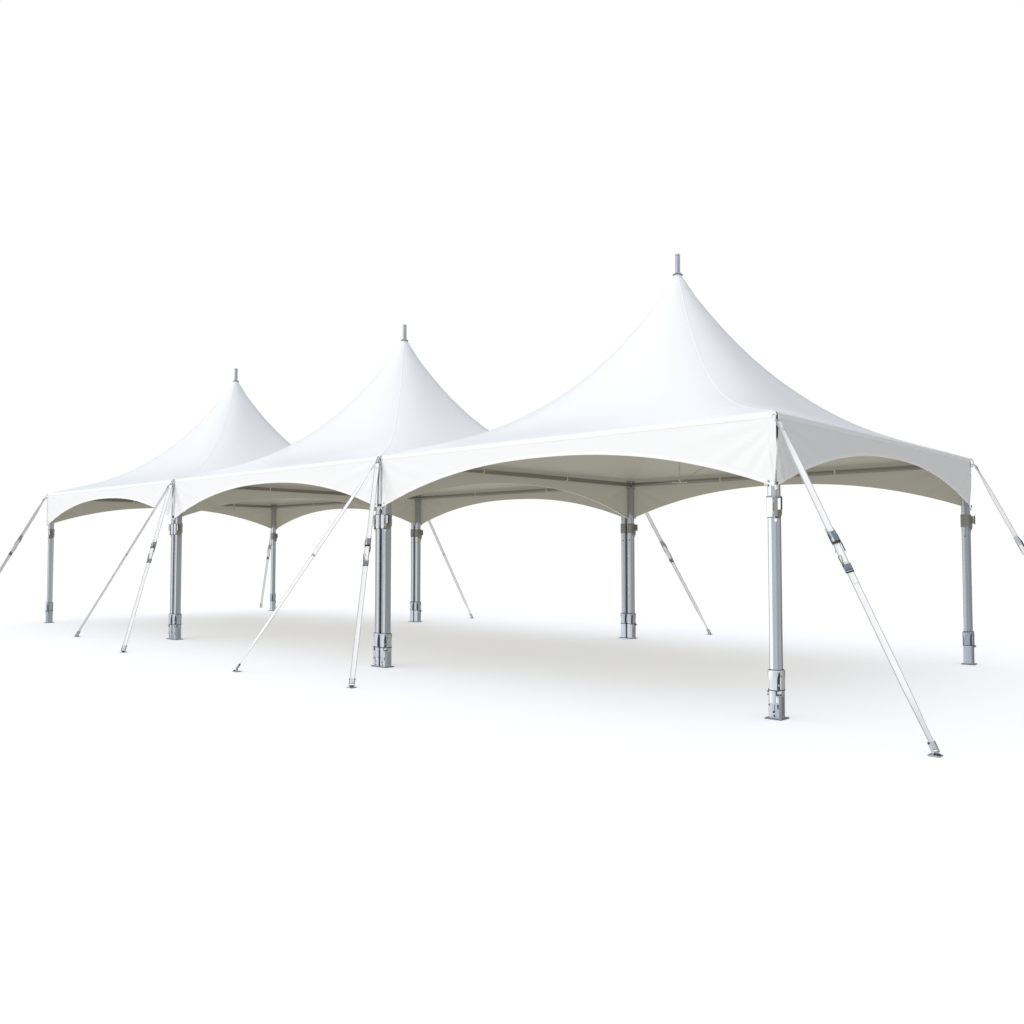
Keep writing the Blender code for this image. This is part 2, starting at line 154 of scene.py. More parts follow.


# Painted light: both cloths glow with a little light of their own, standing in for daylight through the cloth
# and lifting their shade. The inside's dark taupe is painted shade of the cloth's underside.
CANVAS = surface("canvas_outside", (0.768, 0.770, 0.780), 0.55, grain=(420, 420, 420), tone=0.012,
                 bump=0.12, depth=0.0004, Coat_Weight=0.35, Coat_Roughness=0.20,
                 Emission_Color=(0.104, 0.113, 0.130, 1), Emission_Strength=1.0)
SHADED_INSIDE = surface("canvas_inside", (0.215, 0.205, 0.172), 0.75, grain=(300, 300, 300), tone=0.08, bump=0.15,
                 Emission_Color=(0.168, 0.160, 0.135, 1), Emission_Strength=1.0)
PANEL = surface("valance_cloth", (0.848, 0.848, 0.855), 0.6, grain=(420, 420, 420), tone=0.015,
                bump=0.12, depth=0.0004)
BAND = surface("sewn_band", (0.90, 0.90, 0.905), 0.55, grain=(380, 380, 380), tone=0.012, bump=0.15)
WEAVE = {"grain": (500, 500, 220), "bump": 0.14, "depth": 0.0006, "ribs": 78}
PLAIN_WEAVE = {"grain": (500, 500, 220), "tone": 0.03, "bump": 0.1, "depth": 0.0005}
WEBBING = surface("webbing", (0.93, 0.93, 0.93), 0.8, tone=0.03, **WEAVE)
# Painted shade: a darker grey for the webbing's edges
WEB_EDGE_SHADE = surface("webbing_edge_shade", (0.53, 0.53, 0.54), 0.85, tone=0.05, **WEAVE)
# Painted shade: greyer copies of the webbing for guys in shade
SHADED_GREY_WEB = surface("shaded_grey_webbing", (0.66, 0.66, 0.67), 0.85, **PLAIN_WEAVE)
SHADED_WEB = surface("shaded_webbing", (0.36, 0.36, 0.37), 0.85, **PLAIN_WEAVE)
BEIGE_WEB = surface("beige_webbing", (0.66, 0.62, 0.55), 0.85, grain=(500, 500, 220), tone=0.08,
                    bump=0.5, depth=0.0008, ribs=78)
DRAWN = {"grain": (700, 700, 6), "wear": 0.05, "bump": 0.10, "depth": 0.0002}
TUBE = surface("drawn_aluminium", (0.68, 0.70, 0.73), 0.16, 1.0, **DRAWN)
SHADED_TUBE = surface("shaded_aluminium", (0.52, 0.535, 0.555), 0.18, 1.0, **DRAWN)
CAST = {"grain": (240, 240, 240), "bump": 0.25, "depth": 0.0003}
CASTING = surface("cast_aluminium", (0.58, 0.59, 0.60), 0.40, 1.0, tone=0.08, **CAST)
# Dull casting for the clamps; on the back collars it is painted shade
DULL_AND_SHADED = surface("dull_and_shaded_casting", (0.30, 0.295, 0.265), 0.50, 0.5, tone=0.10, **CAST)
RAIL = surface("dull_aluminium", (0.27, 0.26, 0.215), 0.55, 0.3, grain=(8, 8, 500), tone=0.08,
               bump=0.12, depth=0.0002)
COVER = surface("pale_cover", (0.88, 0.882, 0.89), 0.38, grain=(200, 200, 200), tone=0.03, bump=0.08)
ZINC = surface("galvanised_steel", (0.60, 0.63, 0.67), 0.30, 0.95, grain=(160, 160, 160), tone=0.10,
               bump=0.18, depth=0.0003, cells=90)
# Painted highlight: brighter sleeve metal for the nearest foot
LIT_SLEEVE = surface("lit_sleeve_aluminium", (0.86, 0.87, 0.88), 0.22, 1.0, grain=(300, 300, 40), tone=0.04,
                   bump=0.08, depth=0.0002)
ROPE = surface("wire_rope", (0.42, 0.415, 0.385), 0.5, 0.4, grain=(400, 400, 400), tone=0.10, bump=0.2)
PLATED = {"grain": (180, 180, 60), "tone": 0.10, "bump": 0.15, "depth": 0.0003}
BUCKLE_STEEL = surface("zinc_plated_steel", (0.50, 0.53, 0.57), 0.32, 0.95, **PLATED)
GUNMETAL = surface("dark_zinc", (0.25, 0.28, 0.32), 0.38, 0.85, **PLATED)
PAINTED = {"grain": (300, 300, 30), "bump": 0.08, "depth": 0.0002}
ROD = surface("painted_rod", (0.50, 0.485, 0.435), 0.5, **PAINTED)
PALE_TUBE = surface("pale_tube", (0.72, 0.73, 0.745), 0.42, 0.25, **PAINTED)
BARREL = surface("yellow_zinc", (0.74, 0.70, 0.62), 0.40, 0.8, grain=(200, 200, 200), tone=0.08, bump=0.1)
# Dark fittings; also painted shade in holes, gaps and behind slits
DARK = surface("dark_fitting_and_shade", (0.035, 0.036, 0.042), 0.5, grain=(300, 300, 300), tone=0.15, bump=0.1)
SHADOW_BLUE = surface("slot_shade", (0.045, 0.065, 0.09), 0.45, grain=(200, 200, 200), tone=0.12, bump=0.05)


# ---------------------------------------------------------------- mesh tools

class Shape:
    """Points and faces of one piece, with the number of a material on each face."""

    def __init__(self):
        self.points, self.faces, self.looks = [], [], []

    def add(self, form, look=0, place=None):
        """Take in another form, moved to its place."""
        points, faces = form[:2]
        start = len(self.points)
        self.points += [place @ point for point in points] if place else points
        self.faces += [tuple(start + corner for corner in face) for face in faces]
        self.looks += form[2] if len(form) > 2 else [look] * len(faces)
        return self

    def fit(self, place, rows):
        """Small forms from a table: look, form, middle, and the turn or way of its Z."""
        for look, form, middle, *way in rows:
            if way and not isinstance(way[0], Matrix):
                self.add(form, look, place @ aimed(middle, way[0]))
            else:
                self.add(form, look, place @ at(*middle) @ way[0] if way else place @ at(*middle))

    def fit_on(self, block, start, rows):
        """Small forms on a guy from a table: look, form, (along, across, off), and a turn."""
        for look, form, (z, x, y), *turn in rows:
            place = block(start + z, x, y)
            self.add(form, look, place @ turn[0] if turn else place)


def loft(rings, closed_rings=True, caps=True, loop=False):
    """Faces from ring to ring; each ring has as many points as the first."""
    count = len(rings[0])
    points = [point for ring in rings for point in ring]
    faces = []
    for row in range(len(rings) if loop else len(rings) - 1):
        low, high = row * count, (row + 1) % len(rings) * count
        for step in range(count if closed_rings else count - 1):
            after = (step + 1) % count
            faces.append((low + step, low + after, high + after, high + step))
    if caps and closed_rings and not loop:
        faces.append(tuple(range(count))[::-1])
        faces.append(tuple(range((len(rings) - 1) * count, len(rings) * count)))
    return points, faces


def around(count):
    """Angles of points evenly round a circle."""
    return [2 * pi * k / count for k in range(count)]


def turned(profile, sides=20):
    """A turned shape about Z from (radius, height) pairs, bottom first."""
    return loft([[Vector((max(radius, 0.00005) * cos(a), max(radius, 0.00005) * sin(a), height))
                  for a in around(sides)] for radius, height in profile])


def rounded(width, depth, radius, steps=4):
    """Outline of a rectangle with round corners, as (x, y) pairs."""
    points = []
    for quarter, (side_x, side_y) in enumerate(((1, 1), (-1, 1), (-1, -1), (1, -1))):
        middle_x, middle_y = side_x * (width / 2 - radius), side_y * (depth / 2 - radius)
        for step in range(steps + 1):
            angle = (quarter + step / steps) * pi / 2
            points.append((middle_x + radius * cos(angle), middle_y + radius * sin(angle)))
    return points


def square(width, radius, steps=4):
    """Outline of a square with round corners."""
    return rounded(width, width, radius, steps)


def shrunk(outline, amount):
    """A convex outline moved inward all round."""
    middle_x = sum(x for x, _ in outline) / len(outline)
    middle_y = sum(y for _, y in outline) / len(outline)
    reach_x = max(abs(x - middle_x) for x, _ in outline)
    reach_y = max(abs(y - middle_y) for _, y in outline)
    return [(middle_x + (x - middle_x) * (1 - amount / reach_x),
             middle_y + (y - middle_y) * (1 - amount / reach_y)) for x, y in outline]


def ring(outline, height):
    """An outline at one height."""
    return [Vector((x, y, height)) for x, y in outline]


def slab(outline, low, high, edge=0.001):
    """An upright prism with its ends bevelled."""
    small = shrunk(outline, edge)
    return loft([ring(small, low), ring(outline, low + edge), ring(outline, high - edge), ring(small, high)])


def brick(size, radius=0.002, edge=0.001):
    """A block about its own middle, with every edge softened."""
    return slab(rounded(size[0], size[1], min(radius, size[0] / 2.1, size[1] / 2.1)),
                -size[2] / 2, size[2] / 2, min(edge, size[2] / 2.2))


def oval(width, height, sides=10):
    """Outline of an ellipse."""
    return [(width / 2 * cos(a), height / 2 * sin(a)) for a in around(sides)]


def sweep(path, outline, up=UP, loop=False, twist=0.0):
    """An outline carried along a path; its second axis leans towards up."""
    rings = []
    for index, point in enumerate(path):
        before = path[index - 1] if index or loop else point
        after = path[(index + 1) % len(path)] if index < len(path) - 1 or loop else point
        along = (after - before).normalized()
        side = along.cross(up).normalized()
        face = side.cross(along)
        c, s = cos(twist * index), sin(twist * index)
        rings.append([point + side * (u * c - v * s) + face * (u * s + v * c) for u, v in outline])
    return loft(rings, loop=loop)


def arc(centre, radius, start, end, steps, axis_a, axis_b):
    """Points of an arc in the plane of two axes, angles in degrees."""
    angles = [radians(start + (end - start) * step / steps) for step in range(steps + 1)]
    return [centre + axis_a * (radius * cos(a)) + axis_b * (radius * sin(a)) for a in angles]


def at(x, y, z):
    """A placement without turning."""
    return Matrix.Translation((x, y, z))


def aimed(centre, direction):
    """A placement whose Z points along a direction."""
    return Matrix.Translation(centre) @ Vector(direction).to_track_quat("Z", "Y").to_matrix().to_4x4()


def bolt(centre, direction, radius=0.007, height=0.005, sides=6):
    """A hexagon bolt head with a washer."""
    form, place = Shape(), aimed(centre, direction)
    form.add(turned([(radius * 1.35, 0.0), (radius * 1.35, 0.0012), (radius * 1.2, 0.0016)], 18), 0, place)
    form.add(turned([(radius, 0.0014), (radius, height - 0.001), (radius * 0.8, height)], sides), 0, place)
    return form.points, form.faces


def piece(name, shape, looks, stands_for=(), angle=35, thick=None):
    """One object of the marquee from a shape."""
    mesh = bpy.data.meshes.new(name)
    mesh.from_pydata([tuple(point) for point in shape.points], [], shape.faces)
    for number, face in enumerate(mesh.polygons):
        face.material_index = shape.looks[number]
    for look in looks:
        mesh.materials.append(look)
    tidy = bmesh.new()
    tidy.from_mesh(mesh)
    bmesh.ops.remove_doubles(tidy, verts=tidy.verts, dist=0.00001)
    bmesh.ops.dissolve_degenerate(tidy, edges=tidy.edges, dist=0.000005)
    if thick is None:
        bmesh.ops.recalc_face_normals(tidy, faces=tidy.faces)
    tidy.to_mesh(mesh)
    tidy.free()
    mesh.shade_smooth()
    mesh.set_sharp_from_angle(angle=radians(angle))
    made = bpy.data.objects.new(name, mesh)
    bpy.context.scene.collection.objects.link(made)
    if thick:
        shell = made.modifiers.new("thickness", "SOLIDIFY")
        shell.thickness = thick
        shell.offset = -1
        shell.use_even_offset = True
        shell.material_offset = len(looks) - 1
        shell.material_offset_rim = 0
    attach(made, "root")
    if stands_for:
        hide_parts(*stands_for)
    return made


# ---------------------------------------------------------------- places

CORNERS = [(side_x, side_y) for side_x in (-1, 1) for side_y in (-1, 1)]


def bay_centre(bay):
    """X of the middle of a bay."""
    return (bay - (BAYS - 1) / 2) * BAY


def corner_point(bay, side_x, side_y):
    """Axis of the leg in one corner of a bay."""
    return Vector((bay_centre(bay) + side_x * LEG, side_y * LEG, 0))


def is_outer(bay, side_x):
    """True where no other bay stands beside this corner."""
    return bay + side_x < 0 or bay + side_x >= BAYS


def eye_direction(bay, side_x, side_y):
    """Way in which a corner's guy eye points."""
    if is_outer(bay, side_x):
        return Vector((side_x, side_y, 0)).normalized()
    return Vector((0, side_y, 0))


def eye_root(bay, side_x, side_y):
    """Point on the casting's face where its guy eye starts."""
    corner = corner_point(bay, side_x, side_y)
    reach = CASTING_WIDTH / 2
    along = side_x * (reach if is_outer(bay, side_x) else reach - EYE_SET_IN)
    return Vector((corner.x + along, corner.y + side_y * reach, EYE_HEIGHT))


def smoothstep(low, high, value):
    """A soft step from 0 to 1 between two values."""
    share = min(1.0, max(0.0, (value - low) / (high - low)))
    return share * share * (3 - 2 * share)


# ---------------------------------------------------------------- canopy

def hip_height(share):
    """Height of the roof at a share of the way from the peak to the eave."""
    shape = (1 - share) ** HIP_POWER + HIP_BELLY * share ** 3 * (1 - share)
    rise = (PEAK - NECK_HEIGHT - EAVE) / (1 - NECK_SHARE) ** HIP_POWER
    slender = smoothstep(NECK_SHARE, 0.065, share) * (1 - smoothstep(0.15, 0.50, share))
    return EAVE + rise * shape - TIP_DIP * slender


def roof_reach(share, angle):
    """Distance of the roof's outline from the mast: round at the peak, square at the eave."""
    long, short = sorted((abs(cos(angle)), abs(sin(angle))), reverse=True)
    roundness = max(0.0, 1 - share) ** ROUNDING
    softness = 0.5 + log2((1 - roundness) / sqrt(2) + roundness)
    if softness < 0.0002:
        return HIP_REACH * share / sqrt(2) / long
    corner = (1 + (short / long) ** (1 / softness)) ** softness
    return HIP_REACH * share * 2 ** (softness - 0.5) / (long * corner)


# The eave hem stops short of each corner, with a slope between these two places
HEM_NOTCH = (0.030, 0.042)
HEM_LAP = 0.042


def roof_angles(per_side=40):
    """Directions round the mast, closest together near the corners."""
    shares = [-1.0, -1 + HEM_NOTCH[0] / HALF, -1 + HEM_NOTCH[1] / HALF]
    for step in range(1, per_side):
        value = 2 * step / per_side - 1
        shares.append(0.5 * value + 0.5 * sin(pi * value / 2))
    shares += [1 - HEM_NOTCH[1] / HALF, 1 - HEM_NOTCH[0] / HALF]
    return [quarter * pi / 2 + atan(share) for quarter in range(4) for share in shares]


def corner_folds(x, y, bay):
    """Height of the soft creases that run up from the tensioned corners."""
    height = 0.0
    for side_x, side_y in CORNERS:
        inward_x, inward_y = HALF - side_x * x, HALF - side_y * y
        away = hypot(inward_x, inward_y)
        if away < 0.02 or away > 2.4:
            continue
        turn = atan2(inward_y, inward_x) - pi / 4
        fade = exp(-(away / 0.75) ** 2) * (1 - exp(-(away / 0.22) ** 2))
        edge = max(0.0, cos(2 * turn))
        phase = 1.3 * bay + 0.9 * side_x + 0.5 * side_y
        height += 0.0068 * fade * edge * (sin(15 * turn + phase) + 0.6 * sin(26 * turn - phase))
    return height


def make_canopy(bay):
    """The cover: one sheet from its rolled eave edge up to the neck."""
    angles = roof_angles()
    steps = 46
    levels = [(1.0003, EAVE - HEM_LAP), (1.0006, EAVE - HEM_LAP + 0.003), (1.0005, EAVE - 0.016),
              (1.0, EAVE - 0.0065), (0.9994, EAVE - 0.0018)]
    for step in range(steps + 1):
        share = NECK_SHARE + (0.9975 - NECK_SHARE) * (1 - step / steps) ** 1.25
        levels.append((share, hip_height(share)))
    levels.append((NECK_SHARE, PEAK - 0.0005))
    rings = []
    for share, height in levels:
        row = []
        for angle in angles:
            reach = roof_reach(min(share, 1.0), angle) * max(share, 1.0)
            x, y = reach * cos(angle), reach * sin(angle)
            lift = corner_folds(x, y, bay) if share < 0.99 else 0.0
            from_corner = HALF - min(abs(x), abs(y))
            if height < EAVE - 0.012 and from_corner < HEM_NOTCH[0] + 0.001:
                lift = EAVE - 0.012 - height - (EAVE - 0.016 - height) * 0.1
            row.append(Vector((bay_centre(bay) + x, y, height + lift)))
        rings.append(row)
    points, faces = loft(rings, caps=False)
    looks = [1 if number < 4 * len(angles) else 0 for number in range(len(faces))]
    number = bay + 1
    made = piece("canopy_%d" % number, Shape().add((points, faces, looks)), [CANVAS, BAND, SHADED_INSIDE],
                 ["roof_%d" % number], angle=50, thick=SHEET_THICKNESS)
    shape = Shape()
    for quarter in range(4):
        angle = (quarter + 0.5) * pi / 2
        path = []
        for step in range(61):
            share = 0.996 - (0.996 - NECK_SHARE) * step / 60
            reach = roof_reach(share, angle)
            x, y = reach * cos(angle), reach * sin(angle)
            height = hip_height(share) + 0.0005 + corner_folds(x, y, bay)
            path.append(Vector((bay_centre(bay) + x, y, height)))
        shape.add(sweep(path, oval(0.014, 0.005)))
    seams = piece("hip_seams_%d" % number, shape, [BAND], angle=60)


# ---------------------------------------------------------------- valances

def valance_drop(along):
    """How far a valance hangs below the eave."""
    return DROP_MIDDLE + (DROP_CORNER - DROP_MIDDLE) * (abs(along) / (BAY / 2)) ** ARCH_POWER


# How far the low tip of an outer corner is pulled in towards its leg
TIP_LEAN = 0.022


def slit_inset(kind, depth):
    """How far the edge of a valance stands back for the guys, under the eave."""
    if kind == "joint":
        return 0.008 + 0.030 * smoothstep(0.02, 0.12, depth)
    if kind == "inner":
        return 0.050
    width = 0.004 if kind == "corner" else 0.028
    return width * (1 - smoothstep(0.17, 0.25, depth))


def valance_folds(along, depth, drop, bay, quarter):
    """Outward relief of a valance: long pulls that fan out from its corners."""
    relief = 0.0
    for side in (-1, 1):
        near = HALF - side * along
        if near > 1.8:
            continue
        turn = atan2(depth - 0.05, near + 0.06)
        away = hypot(near, depth)
        fade = exp(-(away / 0.8) ** 2) * smoothstep(0.03, 0.16, away)
        phase = 1.7 * bay + 2.3 * quarter + side
        relief += 0.0055 * fade * (sin(19 * turn + phase) + 0.5 * sin(33 * turn + 2 * phase))
        pleat = near - 0.080 + 0.11 * depth
        relief += smoothstep(0.03, 0.09, depth) * (0.0060 * exp(-((pleat - 0.020) / 0.012) ** 2)
                                                   - 0.0030 * exp(-(pleat / 0.010) ** 2))
    share = depth / drop
    relief += 0.0012 * sin(5.2 * along + bay + quarter) * sin(pi * share)
    return relief * smoothstep(0.0, 0.05, depth - 0.03)


def end_kind(bay, side, turn, sign):
    """What a valance's end meets: an outer corner, a joint of two bays, or an inner side."""
    if side in ("front", "back"):
        return "corner" if is_outer(bay, round((turn @ Vector((0, sign, 0))).x)) else "joint"
    return "end" if is_outer(bay, 1 if side == "right" else -1) else "inner"


def make_skirt(bay, quarter):
    """One arched valance with its eave band and its sewn hem."""
    side = SIDES[quarter]
    turn = Matrix.Rotation(quarter * pi / 2, 3, "Z")
    front_or_back = side in ("front", "back")
    end = HALF if front_or_back else HALF - CLOTH - SEAT
    kinds = [end_kind(bay, side, turn, sign) for sign in (-1, 1)]
    columns, middle_rows = 150, 14
    grid = []
    for step in range(columns + 1):
        value = 2 * step / columns - 1
        share_along = 0.12 * value + 0.88 * sin(pi * value / 2)
        kind = kinds[0 if share_along < 0 else 1]
        drop = valance_drop(share_along * end)
        hem_top = drop - 0.030
        depths = [EAVE - VALANCE_TOP, HEM_LAP - 0.006, HEM_LAP + 0.002]
        for row in range(1, middle_rows + 1):
            depths.append(depths[2] + (hem_top - 0.0015 - depths[2]) * row / middle_rows)
        depths += [hem_top, hem_top + 0.004, drop - 0.006, drop]
        column = []
        for number, depth in enumerate(depths):
            lean = TIP_LEAN * smoothstep(0.24, DROP_CORNER, depth) if kind in ("corner", "end") else 0.0
            reach = end - slit_inset(kind, depth) - (lean if front_or_back else 0.0)
            along = share_along * reach
            out = HALF - 0.0004 + valance_folds(along, depth, drop, bay, quarter)
            # Near a corner the folds lean in less, clear of the fittings behind them
            near = end - abs(along)
            inward = 0.0010 + 0.0075 * max(smoothstep(0.09, 0.16, near), smoothstep(0.25, 0.33, depth))
            out = max(out, HALF - inward)
            if not front_or_back:
                out -= lean * smoothstep(0.965, 1.0, abs(share_along))
            if number < 2:
                out = HALF - 0.0036
            if number > len(depths) - 4:
                out += 0.0010
            if number == len(depths) - 1:
                out -= 0.0010
            place = turn @ Vector((min(out, HALF + 0.007), along, EAVE - depth))
            column.append(place + Vector((bay_centre(bay), 0, 0)))
        grid.append(column)
    points, faces = loft(grid, closed_rings=False, caps=False)
    rows = len(grid[0]) - 1
    looks = [1 if number % rows >= rows - 3 else 0 for number in range(len(faces))]
    number = bay + 1
    made = piece("skirt_%s_%d" % (side, number), Shape().add((points, faces, looks)), [PANEL, BAND, SHADED_INSIDE],
                 ["valance_%s_%d" % (side, number)], angle=50, thick=SHEET_THICKNESS)


# ---------------------------------------------------------------- legs

# The faces of the leg profile rise to a low ridge with a fine groove in it
LEG_CROWN, LEG_GROOVE = 0.0035, 0.0016


def leg_outline(width, radius, steps=5):
    """Outline of a square tube with crowned sides and a groove along each."""
    flat = width / 2 - radius
    marks = [(-flat, 0.0), (-flat * 0.93, 0.07), (-flat * 0.5, 0.5), (-0.0060, 0.86), (-0.0036, 0.92),
             (-0.0018, None), (0.0018, None), (0.0036, 0.92), (0.0060, 0.86), (flat * 0.5, 0.5),
             (flat * 0.93, 0.07)]
    local = [(width / 2 + (LEG_CROWN * share if share is not None else LEG_CROWN - LEG_GROOVE), y)
             for y, share in marks]
    for step in range(steps):
        angle = step / steps * pi / 2
        local.append((flat + radius * cos(angle), flat + radius * sin(angle)))
    points = []
    for c, s in ((1, 0), (0, 1), (-1, 0), (0, -1)):
        points += [(x * c - y * s, x * s + y * c) for x, y in local]
    return points


def sleeve_around(inner, outer, low, high, edge=0.003):
    """A band round a tube: outer outline outside, inner outline against the tube."""
    small = shrunk(outer, edge)
    return loft([ring(inner, low), ring(small, low), ring(outer, low + edge),
                 ring(outer, high - edge), ring(small, high), ring(inner, high)], loop=True)


BAND_FACE = -COLLAR_WIDTH / 2
CLAMP_BODY = [(0.027, BAND_FACE - 0.0032), (-BAND_FACE + 0.006, BAND_FACE - 0.0032),
              (-BAND_FACE + 0.006, 0.020), (-BAND_FACE - 0.006, 0.020), (0.027, BAND_FACE + 0.006)]
CLAMP_TOE = [(0.034, BAND_FACE + 0.001), (-BAND_FACE - 0.001, BAND_FACE + 0.001),
             (-BAND_FACE - 0.001, 0.010), (-BAND_FACE - 0.010, 0.010), (0.034, BAND_FACE + 0.006)]
ORIGIN, OUTWARD = (0, 0, 0), (0, -1, 0)
# Looks: 1 band, 2 cover, 3 dark, 4 dull
LEG_FITTINGS = [
    # Pale cover on the outer face between two dark lips, and beside it a dark brick as painted shade of the
    # gap
    (2, brick((0.052, 0.005, 0.160), 0.0022, 0.0022), (-0.014, BAND_FACE - 0.0012, 1.6865)),
    (4, brick((0.056, 0.0062, 0.0050), 0.0022, 0.0015), (-0.015, BAND_FACE - 0.0008, 1.6035)),
    (4, brick((0.056, 0.0062, 0.0050), 0.0022, 0.0015), (-0.015, BAND_FACE - 0.0008, 1.7695)),
    (3, brick((0.0060, 0.004, 0.074), 0.0018, 0.0015), (0.0205, BAND_FACE + 0.0004, 1.690)),
    (3, turned([(0.0048, 0.0), (0.0048, 0.0015), (0.003, 0.0019)], 14),
     (0.0190, BAND_FACE - 0.0002, 1.757), OUTWARD),
    # Clamp at the corner: dull body with a tapered foot, pale wing with a dark rim, tape end
    (4, loft([ring(CLAMP_TOE, COLLAR_BOTTOM - 0.012), ring(CLAMP_BODY, COLLAR_BOTTOM + 0.022),
              ring(CLAMP_BODY, COLLAR_BOTTOM + 0.151)]), ORIGIN),
    (2, brick((0.027, 0.005, 0.094), 0.002, 0.0018), (0.0680, BAND_FACE + 0.0012, 1.712)),
    (3, brick((0.009, 0.014, 0.104), 0.003, 0.002), (0.0860, BAND_FACE + 0.0040, 1.716)),
    (3, brick((0.038, 0.007, 0.004), 0.0015, 0.001), (0.0680, BAND_FACE + 0.0014, 1.7615)),
    (4, brick((0.024, 0.030, 0.060), 0.003, 0.002), (-BAND_FACE + 0.012, BAND_FACE + 0.020, 1.712)),
    (3, bolt((0.036, BAND_FACE + 0.0010, COLLAR_BOTTOM - 0.004), OUTWARD, 0.0055, 0.005), ORIGIN),
    (3, bolt((0.047, BAND_FACE + 0.0010, COLLAR_BOTTOM - 0.004), OUTWARD, 0.0055, 0.005), ORIGIN),
    (2, brick((0.020, 0.003, 0.030), 0.0014, 0.0014), (0.034, BAND_FACE + 0.0055, COLLAR_BOTTOM - 0.026)),
    # Locking pin below the joint
    (1, turned([(0.011, 0.0), (0.011, 0.004), (0.007, 0.006)], 18),
     (0, LEG_WIDTH / 2 + 0.0008, 1.52), (0, 1, 0)),
]


def make_leg(bay, side_x, side_y):
    """A telescopic upright with the clamp around its upper joint."""
    name = "%s_%d_%s" % ("front" if side_y < 0 else "back", bay + 1, "left" if side_x < 0 else "right")
    outer = is_outer(bay, side_x)
    centre = corner_point(bay, side_x, side_y)
    place = at(centre.x, centre.y, 0) @ Matrix.Diagonal((1 if outer else -side_x, -side_y, 1, 1))
    shape = Shape()
    joint = COLLAR_BOTTOM + 0.06
    for width, low, high in ((LEG_WIDTH, SLEEVE_TOP + SEAT, joint),
                             (LEG_WIDTH - 0.002, joint + 0.0005, CASTING_BOTTOM - SEAT)):
        outline = leg_outline(width, LEG_RADIUS)
        shape.add(loft([ring(outline, low), ring(outline, high)]), 0, place)
    inner = square(LEG_WIDTH + 0.004, LEG_RADIUS, 6)
    for width, low, high, edge in ((COLLAR_WIDTH, COLLAR_BOTTOM + 0.02, COLLAR_TOP, 0.003),
                                   (COLLAR_WIDTH + 0.004, COLLAR_TOP - 0.014, COLLAR_TOP - 0.004, 0.002)):
        shape.add(sleeve_around(inner, square(width, COLLAR_RADIUS, 6), low, high, edge), 1, place)
    shape.fit(place, LEG_FITTINGS)
    # Painted shade: the back collars take the dull casting, and all legs but the front outer ones the shaded
    # tube
    looks = [TUBE if side_y < 0 and outer else SHADED_TUBE, CASTING if side_y < 0 else DULL_AND_SHADED,
             COVER if outer else PALE_TUBE, DARK, DULL_AND_SHADED]
    piece("upright_" + name, shape, looks, ["leg_" + name])


# ---------------------------------------------------------------- feet

def slotted_ring(width, radius, height, opening, depth):
    """Outline of a sleeve whose corners are pushed in over an opening."""
    flat = width / 2 - radius
    lean = 45 * opening
    marks = [(0, 0), (45 - lean - 1.5, 0), (45 - lean, 1), (45, 1), (45 + lean, 1),
             (45 + lean + 1.5, 0), (90, 0)]
    points = []
    for quarter in range(4):
        turn = quarter * pi / 2
        for degrees, pushed in marks:
            angle = radians(degrees)
            reach = radius - depth * pushed
            x, y = flat + reach * cos(angle), flat + reach * sin(angle)
            points.append(Vector((x * cos(turn) - y * sin(turn), x * sin(turn) + y * cos(turn), height)))
        turn = (quarter + 1) * pi / 2
        crown = width / 2 + (0.0025 if depth else 0.0015)
        points.append(Vector((crown * cos(turn), crown * sin(turn), height)))
    return points


def slotted_sleeve():
    """The sleeve: round edges, and a lens-shaped slot along each corner."""
    low, high, edge, shut = SOCKET_TOP, SLEEVE_TOP, 0.006, 0.02
    start, end, levels = low + 0.004, high - 0.012, 18
    rings = [slotted_ring(SLEEVE_WIDTH - 2 * edge, SLEEVE_RADIUS - edge, low, shut, 0.0),
             slotted_ring(SLEEVE_WIDTH - 0.003, SLEEVE_RADIUS - 0.0015, low + 0.0015, shut, 0.0)]
    for level in range(levels + 1):
        share = level / levels
        opening = max(shut, min(0.95, 1.02 * sin(pi * (0.30 + 0.68 * share)) ** 0.8))
        depth = 0.010 if 0 < level < levels else 0.0
        rings.append(slotted_ring(SLEEVE_WIDTH, SLEEVE_RADIUS, start + (end - start) * share, opening, depth))
    rings += [slotted_ring(SLEEVE_WIDTH, SLEEVE_RADIUS, high - edge, shut, 0.0),
              slotted_ring(SLEEVE_WIDTH - edge, SLEEVE_RADIUS - edge / 2, high - 0.0015, shut, 0.0),
              slotted_ring(SLEEVE_WIDTH - 2 * edge, SLEEVE_RADIUS - edge, high, shut, 0.0)]
    points, faces = loft(rings)
    count, looks = len(rings[0]), []
    for number in range(len(faces)):
        row, step = divmod(number, count)
        # Faces inside the slots take the dark slot look: painted shade
        looks.append(2 if step % 8 in (2, 3) and 2 <= row < 2 + levels else 1)
    return points, faces, looks


SOCKET_LOW = PLATE_THICKNESS - 0.0004
SOCKET_FACE, SLEEVE_SIDE = -SOCKET_WIDTH / 2, SLEEVE_WIDTH / 2
WELD_BEAD = ring(square(SOCKET_WIDTH + 0.001, SOCKET_RADIUS, 5), SOCKET_LOW + 0.0015)
PIN_HOLE = turned([(0.0088, 0.0), (0.0088, 0.001), (0.0068, 0.0014)], 18)
